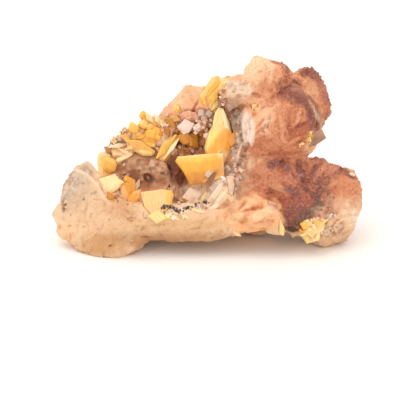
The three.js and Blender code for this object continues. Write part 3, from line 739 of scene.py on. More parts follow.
# zones and stains, painted one over another
rockStrokes = [
    # the limb: cream, with a paler toe, and painted shade that darkens its underside to tan
    *alike([(-35, -8.5, 4, 3.5, 0, "#f0c498"), (-35.6, -9, 2, 1.6, 0, None, 0.7)], through=True),
    *alike([(-24, -11, 6, 3, 10, "#cf9c6c"), (-15.4, -10.4, 1.8, 1.6, 0, "#bd8258")], edge=0.6),
    *alike([(-6, -9.5, 16, 1.8, 0, "#c4956a"), (-6, -6, 15, 2, 0, "#e0b486")], edge=0.7),
    stroke(-20, -2.5, 4, 2, -20, "#d9a67a", edge=0.8),
    # the back wall and the top edge of the pocket
    stroke(-4, 24, 9, 7, 0, "#fac49a", through=True, sugar=0.4),
    stroke(4, 30, 7, 1.8, 8, "#f5d09c", sugar=0.3),
    stroke(-8.5, 22.5, 2, 2.6, 30, "#f4b48c", sugar=0.5),
    *alike([(-1, 21, 3, 2, 20, "#de9878"), (2.4, 19.5, 1.4, 1.8, 0, "#cc7e66")], sugar=0.6),
    *alike([(-5, 18.6, 1.6, 0.5, -60, "#cc8468", -0.4), (-1.6, 22.2, 2.6, 0.4, 70, "#c47456", -0.5)]),
    # the ridge of rubble at the pocket's left
    *alike([(-20, 15, 5.4, 3.4, 30, "#c9a17e"), (-13, 19, 5, 2.6, 35, "#d4a87c")], sugar=0.5),
    stroke(-22.4, 15.4, 1.6, 0.7, 40, "#8b7a70"),
    # the pocket's brown mass, with painted shade in its pit and in the dark hole
    *alike([(-14, 8, 9, 6.5, 0, "#c89874"), (-11.6, 8.6, 4.4, 2.4, -8, "#dab08c")], sugar=0.2),
    stroke(-16, 12.4, 6, 0.9, -16, "#94644e", edge=0.6),
    stroke(-19.7, 10.3, 1.3, 1, 0, "#4f3a34", -0.5),
    stroke(-17.6, 6, 2, 1.6, 20, "#8a5038", edge=0.5),
    stroke(-12.8, 5.4, 1.7, 1, -30, "#7c4c3e", -1),
    stroke(-12, 2.4, 4.4, 1, 0, "#d6946e", edge=0.5),
    # painted shade: dark patches deep in the pocket, behind and between its crystals
    *alike([
        (-5.9, 7, 2, 4.2, 12, "#925c48"), (-5.6, 14.4, 1.8, 3, 0, "#8a5544"),
        (-1, 12.5, 4, 2.4, 0, "#bf8a6e"),
    ]),
    # the grey shelf under the wide plate
    stroke(-2, 0.5, 7, 3.4, 0, "#fbdcba", sugar=0.3),
    stroke(-3.5, 2.8, 2.2, 0.8, -30, "#c0a592", edge=0.5),
    # lobes, upper left: a peach dome, a crease below it painted darker as shade, and a redder end
    stroke(16, 31, 8.5, 7.5, 0, "#f9bd90", through=True, sugar=1),
    stroke(15, 31.4, 5, 5, -20, "#ffd0a6", sugar=0.9),
    *alike([(20.2, 31.6, 2, 3.6, -25, "#e8a47c"), (19.6, 34.4, 2.2, 0.7, -16, "#bf7452")], sugar=1),
    stroke(21.6, 32, 1, 3, 12, "#b96e50", sugar=1, edge=0.5),
    *alike([
        (15.4, 25.6, 2.6, 0.6, -22, "#d88a60", -0.4), (19.2, 26.2, 1.8, 0.6, 34, "#d4845c", -0.3),
        (14.3, 35.8, 1.3, 1.2, 0, None, 0.6),
    ]),
    # lobes, back: an orange fan with a dark, scalloped rim
    stroke(30, 25, 6.4, 10.5, 12, "#df9468", through=True, sugar=1),
    stroke(27.2, 26.8, 2.4, 4, 16, "#e8a87c", sugar=1),
    *alike([
        (28.6, 31.6, 4, 1.6, -12, "#93523f"), (31.6, 28.6, 4.4, 1.4, -52, "#8c4a39"),
        (33.4, 24, 3.4, 0.8, -84, "#9a5a48"),
    ], sugar=1, edge=0.5),
    stroke(30.8, 29, 2.4, 1.4, -50, "#a8644c", sugar=1, edge=0.6),
    stroke(32.4, 20.4, 1.2, 2, 10, "#bc8068", sugar=1),
    stroke(31.4, 26.6, 1.3, 3.6, 8, "#bc765e", sugar=1, edge=0.6),
    # lobes, middle: a peach flank with folds, a domed cap and a swirl
    stroke(20, 19.5, 8.5, 11, 0, "#d98e62", through=True, sugar=1),
    stroke(15.2, 21.4, 3.6, 5.4, -10, "#f4bc94", sugar=0.7),
    stroke(17.6, 24.6, 2.4, 1.2, -20, "#eeb288", sugar=0.8),
    stroke(14.6, 13.4, 4.6, 2.8, 0, "#cc7e56", sugar=1),
    stroke(16.4, 18.2, 2.9, 0.7, 66, "#a47a68", -0.5, patchy=(0.7, 0.5)),
    *alike([(14.8, 19, 2.4, 0.4, 52, "#dc9468", -0.4), (14.4, 17, 2.2, 0.4, 46, "#d88e62", -0.4)]),
    *alike([
        (20.8, 27, 1.8, 2.2, 10, "#ae6c56"), (23.6, 26.4, 4.4, 1.8, -40, "#94523f"),
        (27.6, 21.4, 4.6, 1.3, -68, "#86483a"),
    ], sugar=1, edge=0.5),
    *alike([
        (23.8, 22, 2.6, 1.6, 10, "#cf7e58"), (25.4, 16.4, 3.6, 2.6, 40, "#bb6642"),
        (28.2, 17, 2.4, 0.9, -84, "#98523e"),
    ], sugar=1),
    *alike([
        (24.6, 20.6, 2.3, 0.5, 76, "#e09a72", 0.5), (23.6, 18.6, 1.4, 0.5, 34, "#dc9066", 0.6),
        (20.4, 18.6, 2.6, 0.6, -84, "#dd9468", 0.7), (21.2, 14.6, 1.6, 0.5, -50, "#d98e62", 0.5),
        (23.6, 14.8, 2, 0.5, 30, "#d4865a", 0.6), (25.4, 18.8, 1.8, 0.7, 18, "#b46446", -0.4),
        (22.3, 18.4, 0.7, 2.6, 8, "#bc6c4a", -0.35), (21.4, 11.4, 6, 0.5, 2, "#b0624a", -0.4),
    ]),
    # the step between the middle dome and the fan behind it
    *alike([
        (24, 29, 2, 1, -36, "#a8644a", 0.6), (28.2, 24.6, 2.4, 0.5, -55, "#985c46", 0.4),
        (29.8, 20.6, 2.4, 0.6, -78, "#b8866a", 0.5), (21.4, 29.6, 1.8, 0.6, 30, "#c0764e", -0.3),
        (23.6, 26.4, 3.4, 1.6, -38, None, 0.6), (27.2, 21.6, 3.4, 1.2, -66, None, 0.5),
    ]),
    stroke(29.6, 20, 0.4, 3.6, 20, "#d8bca0", sugar=0.5, edge=0.5),
    stroke(27.8, 15.6, 1.4, 1.6, 0, "#dcb286", sugar=0.5),
    # lobes, lower right: dark ridges that run out from a dark heart
    stroke(25.5, 3.5, 15, 9, -6, "#c2714b", through=True, sugar=1),
    stroke(16.2, 6.4, 3.2, 3.6, 0, "#d0855e", sugar=1),
    *alike([
        (28.6, 5, 7.4, 4.6, 10, "#c2765a"), (28.6, 9, 4.4, 2.2, -12, "#e09c78"),
    ], sugar=1, edge=0.6),
    *vein([(17.2, 8.6), (19.4, 9.4), (21.6, 8.9), (22.4, 7.4)], 1.1, "#925244", ragged=0.6, lift=0.4),
    *vein([(16.6, 1.4), (19, 2), (20.6, 1)], 0.5, "#b46a4c", lift=-0.25),
    stroke(19.6, 3, 2.6, 0.9, -20, "#d08a62", 0.4),
    *alike([
        (24.6, -1.6, 7.4, 2.8, 4, "#b05f44"), (28.8, -1.4, 4.4, 2.6, -10, "#ac5a42"),
        (23.6, -4.4, 3.8, 3, 10, "#90503e"),
    ], sugar=1, edge=0.4),
    *vein([(28.4, 1), (30, -0.6), (28.6, -2.4)], 1, "#6e4838", ragged=0.7, edge=0.8),
    *vein([(28.2, -2.6), (25.6, -4.4), (23.6, -6.8)], 1, "#744c3c", ragged=0.7, edge=0.8),
    stroke(22.8, -7.2, 2.4, 0.7, -10, "#5c3a30"),
    *vein([(24.3, 9.2), (25.3, 6), (26.3, 3.8), (26.8, 2.2)], 0.9, "#864a3e", ragged=0.6, lift=0.45),
    *vein([(29.2, 8.8), (28.6, 7.2), (27.9, 5)], 0.6, "#9a6252", ragged=0.6, lift=0.3),
    *vein([(29.2, 4), (31.6, 4.8), (33.6, 6), (34.8, 7)], 0.8, "#864a3e", ragged=0.6, lift=0.45),
    *vein([(27.6, 1.4), (30.2, 1.9), (32.2, 3.2), (33.9, 4.8)], 0.8, "#7e463a", ragged=0.6, lift=0.45),
    *vein([(21.4, 3), (22.8, 2), (24.6, 1.2)], 0.8, "#8c5044", ragged=0.6, lift=0.3),
    *vein([(27, 5.4), (27.4, 3.6), (28.2, 2.6)], 0.4, "#ca7c5a", lift=-0.35),
    *vein([(29, 5.6), (30.8, 6.6), (32, 8)], 0.5, "#d08460", lift=-0.35),
    *vein([(30.4, 0.4), (32.6, 1.6), (34.4, 3.4)], 0.5, "#c87a58", lift=-0.35),
    *vein([(23.2, 9), (23.6, 6.8), (24.6, 4.4)], 0.5, "#c87856", lift=-0.3),
    stroke(30.4, 10.4, 2.4, 0.7, -8, "#b8745a", 0.8, sugar=1),
    stroke(36.2, 2.6, 4.4, 4.4, -20, "#d98a5e", sugar=1, edge=0.5),
    stroke(37, 6.6, 2.4, 0.7, -35, "#9c5a4a", sugar=1),
    stroke(35.2, 7.6, 0.5, 1.4, -20, "#a8614a", -0.4),
    stroke(36.4, -5.4, 5.8, 5, -14, "#ebc09c", through=True, sugar=0.3, edge=0.6, ragged=0.5),
    stroke(37.4, -4, 2.4, 3, 0, "#f6d8bc", sugar=0.6, patchy=(1.4, 0.8)),
    stroke(32.4, -1.2, 0.9, 3.4, 12, "#c08a6c", edge=0.6),
    stroke(32.2, -7.6, 1.2, 1.6, 0, "#dccabc", sugar=0.5, patchy=(0.6, 0.5)),
    stroke(34.4, -6.8, 1.9, 1.9, 20, "#b88660", -0.2, patchy=(0.8, 0.6)),
    stroke(36.4, -9, 2.6, 1.2, 20, "#d0a480", edge=0.6, patchy=(1.2, 0.5)),
    # flowstone folds beside the pocket
    stroke(12.6, -3.6, 7.8, 5, 0, "#f4b886", sugar=0.1, edge=0.2),
    *alike([
        (18, -1.6, 2, 1.9, 0, "#fcd0a6", 0.4), (14.6, -3.8, 2.6, 1.2, 20, "#f9c99c", 0.35),
        (10.8, -3.4, 2.8, 1.4, 40, "#f7c898", 0.35), (12.4, -0.2, 2.2, 0.9, -30, "#f6c094", 0.35),
        (8.4, -4.8, 2.4, 1.2, 20, "#f5c794", 0.25),
    ]),
    *alike([
        (12.9, -2.3, 3, 0.4, 14, "#dc8a5e", -0.3), (16.6, 0.6, 2.6, 0.4, -24, "#d5845a", -0.3),
        (10.6, -1.2, 2, 0.4, 58, "#e0966a", -0.3), (15.8, -5.6, 3, 0.4, 12, "#e2a276", -0.2),
    ], edge=0.6),
    # the grey wall: ledge, recess, pale column and rubble
    stroke(8, 13, 4, 15, 0, "#be8866", sugar=0.4),
    stroke(9.8, 27.4, 3.8, 2.2, 0, "#efd0b4", sugar=0.3, ragged=0.1),
    stroke(8.4, 28.8, 3, 0.8, 4, "#cfb8a4", patchy=(1.2, 0.6)),
    stroke(5.8, 25.6, 1.5, 2, 0, "#c48c6c", sugar=0.4, patchy=(0.8, 0.6)),
    stroke(8, 23.8, 2.4, 0.9, -10, "#c6b8ac", -0.3, patchy=(1.2, 0.6), edge=0.5),
    stroke(9.4, 21.6, 1.4, 1, 0, "#b5a393", patchy=(0.9, 0.7)),
    stroke(8.9, 20.2, 1.5, 2.4, 0, "#c0aa98"),
    stroke(12, 17.8, 1.6, 4.2, 4, "#f9e4d4", 0.3, sugar=0.2, ragged=0.1),
    stroke(12, 17.6, 0.9, 3.6, 8, "#e6ccba", -0.15, patchy=(0.3, 1.2)),
    stroke(10.2, 17, 0.35, 3.6, 6, "#a38d7c", -0.4, ragged=0.4),
    stroke(8.4, 16.6, 1.6, 4, 0, "#b8a08c", patchy=(1.4, 0.5)),
    stroke(10.2, 14.8, 1.1, 3.2, -8, "#dcc2ac", patchy=(1.4, 0.6), strength=0.8),
    stroke(11.7, 9.4, 1.5, 3, 10, "#e0b896", edge=0.6, patchy=(1.6, 0.8), strength=0.8),
    stroke(8.8, 7.4, 2.4, 0.6, 48, "#8c5f42", patchy=(1.2, 0.5)),
    stroke(7, 9.4, 1.2, 0.7, 50, "#77594a", patchy=(0.8, 0.5)),
    *alike([
        (8.8, 9, 2.4, 0.25, 58, "#f0dcc6", 0.2), (7.2, 7, 1.8, 0.2, 50, "#ecd6c0", 0.15),
        (9.8, 12, 2.2, 0.3, 70, "#f0dec8", 0.2), (8.2, 12.4, 1.6, 0.35, 44, "#94765e", -0.2),
        (9, 6.6, 1.4, 0.3, 62, "#94765e", -0.2),
    ]),
    stroke(7, 8.2, 1, 1.3, 0, "#8a7466", -0.3, patchy=(0.8, 0.6)),
    stroke(8.4, 5.5, 1.4, 2, 20, "#d8b498", patchy=(1.2, 0.6)),
    stroke(7.8, 6.8, 1.6, 2.6, 0, "#b07c5c", patchy=(0.9, 0.7)),
    stroke(6.4, 1.4, 2.2, 2.2, 45, "#ffdcb2", sugar=0),
    stroke(9.4, 10.4, 1.6, 2.6, 0, "#d4b49c", patchy=(1.4, 0.7)),
    # the foot: two grey facets that meet in a cream crest, grey streaks and small dark holes
    stroke(-31.4, 3, 4, 7, -30, "#dfbc9c"),
    stroke(-32.1, 4.1, 4.4, 2.2, 50, "#dcc4ac", edge=0.4),
    stroke(-32.3, 4.3, 4.2, 2, 52, "#b0907a", patchy=(1.1, 0.4), edge=0.5, strength=0.9),
    stroke(-30.8, 0.8, 3.4, 2.2, 46, "#c4a488", patchy=(1.6, 0.35), edge=0.7, strength=0.7),
    stroke(-33.2, 5.4, 2.4, 0.4, 52, "#947a6a", patchy=(0.9, 0.3), edge=0.6, strength=0.8),
    stroke(-31.7, 3.6, 2.6, 0.35, 54, "#f2dac2", patchy=(0.9, 0.3), edge=0.6, strength=0.7),
    stroke(-32.8, 1.8, 2.2, 0.4, 56, "#9c8070", patchy=(0.8, 0.3), edge=0.6, strength=0.7),
    stroke(-30.2, 5.6, 1.8, 0.3, 50, "#a08a7a", patchy=(0.7, 0.3), edge=0.6, strength=0.7),
    stroke(-28.4, 7.7, 1.9, 0.9, -48, "#b0a196", patchy=(1.2, 0.5)),
    stroke(-26.8, 1.8, 0.7, 0.5, 30, "#93806f", patchy=(0.6, 0.4)),
    stroke(-29.1, 0.2, 0.5, 0.25, 30, "#8a7566"),
    stroke(-29.6, 7, 1.9, 0.4, -18, "#f6dabc", 0.4, crest=(1, 2.2), strength=0.8),
    stroke(-26.8, 5, 2, 0.4, -48, "#f6dabc", 0.65, crest=(1.2, 2.6), strength=0.8),
    stroke(-24.8, 1.9, 2.1, 0.4, -63, "#f3d2ae", 0.6, crest=(1.2, 2.4), strength=0.8),
    stroke(-23.1, -0.5, 1.1, 0.4, -42, "#e8c6a0", 0.25, crest=(1, 2), strength=0.5),
    *alike([
        (-34.4, -1.4, 1.7, 0.25, -80, "#c39a80", -0.5), (-33.7, -1.2, 0.35, 0.25, 60, "#6e5a50", -0.4),
        (-34.2, -2.5, 0.25, 0.6, 0, "#6e5a50", -0.5),
    ], ragged=0.1),
    stroke(-34, -4.6, 0.45, 0.4, 0, "#a4897a", patchy=(0.4, 0.2), ragged=0.1),
    stroke(-35.7, -3.7, 0.9, 2.6, 0, "#f0c8a4", 0.3),
    *alike([
        (-27.4, -9.4, 1.9, 0.16, 33, "#cd9868", -0.15), (-27.2, -9.1, 1.9, 0.2, 33, "#e8bb8c", 0.15),
        (-22.6, -11.4, 0.3, 0.25, 40, "#6c3426", -0.4), (-17.9, -9.5, 0.22, 0.2, 0, "#efd0b0"),
        (-17, -10.2, 0.22, 0.18, 0, "#efd0b0"),
    ], ragged=0.1),
    # the limb: strata lines, a dark line of painted shade along the underside and faint pits
    *alike([
        (-12, -6.4, 6, 0.25, 3, "#cf9f70", -0.2), (-3, -7.4, 6, 0.22, 5, "#cb9a6a", -0.2),
        (4, -5.6, 6, 0.25, 8, "#e9be8e", 0.2),
    ], patchy=(2.4, 0.4)),
    stroke(-13.5, -9.2, 1.4, 0.25, 0, "#a2502e", patchy=(0.8, 0.4)),
    stroke(-11, -5.2, 0.9, 0.5, -40, "#d3a579", patchy=(0.6, 0.4)),
    # the hidden sides: clay and iron stains, a weathered grey face and thin calcite veins
    stroke(-12, 6, 10, 5, 24, "#dfae84", behind=True, patchy=(5, 2.4)),
    stroke(-2, 17, 7, 4, -24, "#d3a27c", behind=True, patchy=(4, 2)),
    stroke(-6, 0, 12, 2.4, 4, "#c69672", behind=True, patchy=(4, 1.4), edge=0.6),
    stroke(-18, 11, 5, 3, 40, "#d2b698", behind=True, patchy=(2.4, 1)),
    stroke(3, 9, 4, 6, 10, "#d2b698", behind=True, patchy=(1.8, 1)),
    stroke(-30, -2, 4, 6, 10, "#d6bc9e", behind=True, patchy=(2.2, 0.8)),
    stroke(8, -2, 5, 4, 0, "#cc8e68", behind=True, patchy=(3, 1.8), sugar=0.5),
    *vein([(-20, 2), (-13, 6), (-7, 8), (-1, 15), (3, 22)], 0.4, "#f6e4ce", behind=True, patchy=(3, 0.4)),
    *vein([(-9, 7.6), (-4, 5), (2, 5.6), (6, 1)], 0.3, "#f3dfc8", behind=True, patchy=(2, 0.4)),
    stroke(19, 20, 5, 5, 0, "#dd9a72", behind=True, sugar=1, patchy=(3, 2)),
    stroke(25, 6, 6, 4, 20, "#a45e48", behind=True, sugar=1, patchy=(2.4, 1.4)),
    *alike([
        (30, 27, 3, 3.4, 0, "#e0a680"), (16, 31, 5, 3, 0, "#dc9870"),
    ], behind=True, sugar=1, patchy=(2, 1.4)),
    stroke(34, -1, 5, 3.4, -20, "#d9a07c", behind=True, sugar=0.8, patchy=(2, 1.4)),
]


speckShape = {"flat": (0.4, 0.9), "edge": 0.5}


def specks(across, up, wide, high, turn, count, size, tint, lift, seed):
    # many small strokes scattered over an ellipse
    chance = random.Random(seed)
    made = []
    for _ in range(count):
        place = placeIn((across, up, wide, high, turn), chance)
        long = chance.uniform(*size)
        flat, lean = chance.uniform(*speckShape["flat"]), chance.uniform(0, 180)
        made.append(stroke(*place, long, long * flat, lean, tint, lift, edge=speckShape["edge"]))
    return made


for seed, row in enumerate([
    (-20, -5, 14, 5, 0, 26, (0.15, 0.3), "#b08a64", -0.15),
    (27.6, 1, 6, 7, -20, 110, (0.15, 0.35), "#7c4c42", 0.12),
    (28.6, 4, 6, 6, -20, 50, (0.12, 0.3), "#b87a66", 0.1),
    (8, 11, 3, 12, 0, 50, (0.25, 0.7), "#9a7a66", -0.1),
    (8, 11, 3, 12, 0, 36, (0.25, 0.5), "#dcc4b0", 0.1),
    (-14, 8, 8, 5, 0, 16, (0.25, 0.7), "#9a705a", -0.2),
    (-14, 8, 8, 5, 0, 20, (0.25, 0.6), "#dab494", 0.15),
    (-13, 8, 8, 4.4, 0, 22, (0.6, 1.4), "#c49470", 0.3),
    (-13, 8, 8, 4.4, 0, 14, (0.5, 1.4), "#a67c60", -0.15),
], 7):
    rockStrokes += specks(*row, seed)

# ribs on a lobe's rim, which scallop its outline
lobeRibs = [
    {"at": (24.5, 21), "size": (9, 9), "count": 34, "lift": 0.16},
    {"at": (28.4, 24.6), "size": (5.4, 7.4), "count": 30, "lift": 0.3},
    {"at": (28, 0), "size": (12, 9.4), "count": 40, "lift": 0.2},
]
ribShape = {"from": (0.7, 0.25), "to": (1.3, 0.15), "wander": 1.2, "middle": 0.6}


def ribbed(canvas):
    height = np.zeros(len(canvas["places"]))
    (start, rise), (end, fall) = ribShape["from"], ribShape["to"]
    for ribs in lobeRibs:
        offset = (canvas["places"] - np.array(ribs["at"])) / np.array(ribs["size"])
        out = np.hypot(offset[:, 0], offset[:, 1])
        angle = np.arctan2(offset[:, 1], offset[:, 0])
        ring = np.clip((out - start) / rise, 0, 1) * np.clip((end - out) / fall, 0, 1)
        wave = np.abs(np.sin(angle * ribs["count"] / 2 + ribShape["wander"] * canvas["ripple"]))
        height += ribs["lift"] * ring * (wave - ribShape["middle"])
    return height


matrix = mergedCopy("matrix", "weathered_matrix")
rubblePiece = sprinkle("rubble", rubble, 3, [surfaceTree(matrix)], crystalTrees)
pick(matrix)
rubblePiece.select_set(True)
bpy.ops.object.join()
remeshed(matrix, rock["clearance"], rock["voxel"])
print("rock remeshed", len(matrix.data.vertices))


def crystalsAway(piece):
    # how far each vertex is from the nearest crystal, in millimetres, as far as it looks around
    around = rock["lookAround"]
    away = np.full(len(piece.data.vertices), around)
    for i, vertex in enumerate(piece.data.vertices):
        for tree in crystalTrees:
            found = tree.find_nearest(vertex.co, around * mm)
            if found[0] is not None:
                away[i] = min(away[i], found[3] / mm)
    return away


def heightOf(relief, sugar):
    plain, sugary = relief["share"]
    return relief["height"] * (plain + (sugary - plain) * sugar)


def sculptRock(piece):
    canvas = canvasOf(piece)
    points = vertices(piece)
    outward = normals(piece)
    near, far = rock["nearCrystals"]
    free = np.clip((crystalsAway(piece) - near) / (far - near), 0, 1)
    sugar = sugarOf(rockStrokes, canvas)
    height = liftOf(rockStrokes, canvas) + ribbed(canvas)
    lumps, breaks, grains = rock["lumps"], rock["breaks"], rock["sugarGrains"]
    height += heightOf(lumps, sugar) * noiseAt(points, lumps["width"], 5, 3)
    height += heightOf(breaks, sugar) * hackly(points, breaks["width"], 2)
    height += heightOf(grains, sugar) * hackly(points, grains["width"], 9)
    height = free * (height - rock["clearance"])  # what was swollen goes back, away from crystals
    points += outward * (height * mm)[:, None]
    points[:, 2] = np.maximum(points[:, 2], 0)  # the flats that it stands on stay flat
    setVertices(piece, points)


sculptRock(matrix)
modify(matrix, "DECIMATE", ratio=min(1, rock["triangles"] / (2 * len(matrix.data.polygons))))
print("rock sculpted", len(matrix.data.vertices))
measureHollows(matrix)
rockCanvas = canvasOf(matrix)
rockColours = paint(matrix, rock["ground"], rockStrokes, rockCanvas)
rockSugar = sugarOf(rockStrokes, rockCanvas)
setNumber(matrix, "sugar", rockSugar)
smoothShade(matrix)
finishPiece(matrix, limestone, "matrix")

# the pocket's crust: a skin of rust-stained calcite under a druse of small rhombs
crustFinish = {
    "swell": 0.2,
    "voxel": 0.25,
    "lumps": {"width": 1.2, "height": 0.35},
    "tint": "#c08a68",
    "sugar": 0.7,
    "druse": {"count": 240, "size": (0.4, 1.0)},
}
# painted shade: the dark patches in the pit and deep in the pocket are laid on the crust as on the rock
crustStrokes = [
    stroke(-11.6, 8.6, 4.4, 2.4, -8, "#c99c7c"),
    *alike([
        (-16, 12.4, 6, 0.9, -16, "#94644e"), (-9, 16.6, 2.4, 3.4, -20, "#9a6448"),
        (-10.6, 12.6, 1.6, 1.4, 0, "#a87858"),
    ], edge=0.6),
    *alike([
        (-12.8, 5.4, 1.5, 0.9, -30, "#8a5444"), (-5.9, 7, 2, 4.2, 12, "#925c48"),
        (-5.6, 14.4, 1.8, 3, 0, "#8a5544"), (-3.4, 21.2, 3, 2, 0, "#eeb494"),
        (-2, 0.5, 7, 3.4, 0, "#f8dab8"),
    ]),
]
crust = mergedCopy("vug_crust", "vug_crust_skin")
remeshed(crust, crustFinish["swell"], crustFinish["voxel"])
crustPoints = vertices(crust)
crustLumps = crustFinish["lumps"]
crustHeight = crustLumps["height"] * noiseAt(crustPoints, crustLumps["width"], 21, 3) * mm
setVertices(crust, crustPoints + normals(crust) * crustHeight[:, None])
measureHollows(crust)
crustColours = paint(crust, crustFinish["tint"], crustStrokes, canvasOf(crust))
setNumber(crust, "sugar", np.full(len(crust.data.vertices), crustFinish["sugar"]))
smoothShade(crust)
finishPiece(crust, limestone, "vug_crust")


def spotsOn(piece, colours, wanted, seed, count):
    # random vertices of a piece, with their normals and stains
    found = [i for i, wish in enumerate(wanted) if wish]
    chosen = random.Random(seed).sample(found, min(count, len(found)))
    corners = piece.data.vertices
    return [(corners[i].co.copy(), corners[i].normal.copy(), list(colours[i])) for i in chosen]


druse = crustFinish["druse"]
druseSpots = spotsOn(crust, crustColours, [True] * len(crustColours), 31, druse["count"])
druseRow = (0, 0, 0, 0, 0, druse["count"], druse["size"], None)
druseRows = crumbs("rhomb", [druseRow], lean=70, bury=0.5)
druseCrystals = sprinkle("druse_rhombs", druseRows, 32, spots=druseSpots)
finishPiece(druseCrystals, calcite)

# sugary calcite: half-buried grains all over the lobes, in the stone's own stain
sugarGrains = {"count": 1800, "size": (0.3, 0.65), "from": 0.75}
sugarSpots = spotsOn(matrix, rockColours, rockSugar > sugarGrains["from"], 33, sugarGrains["count"])
sugarRow = (0, 0, 0, 0, 0, sugarGrains["count"], sugarGrains["size"], None)
sugarRows = crumbs("rhomb", [sugarRow], bury=0.6)
sugarCrystals = sprinkle("sugar_grains", sugarRows, 34, spots=sugarSpots)
finishPiece(sugarCrystals, calcite)
print("druse and sugar grown")

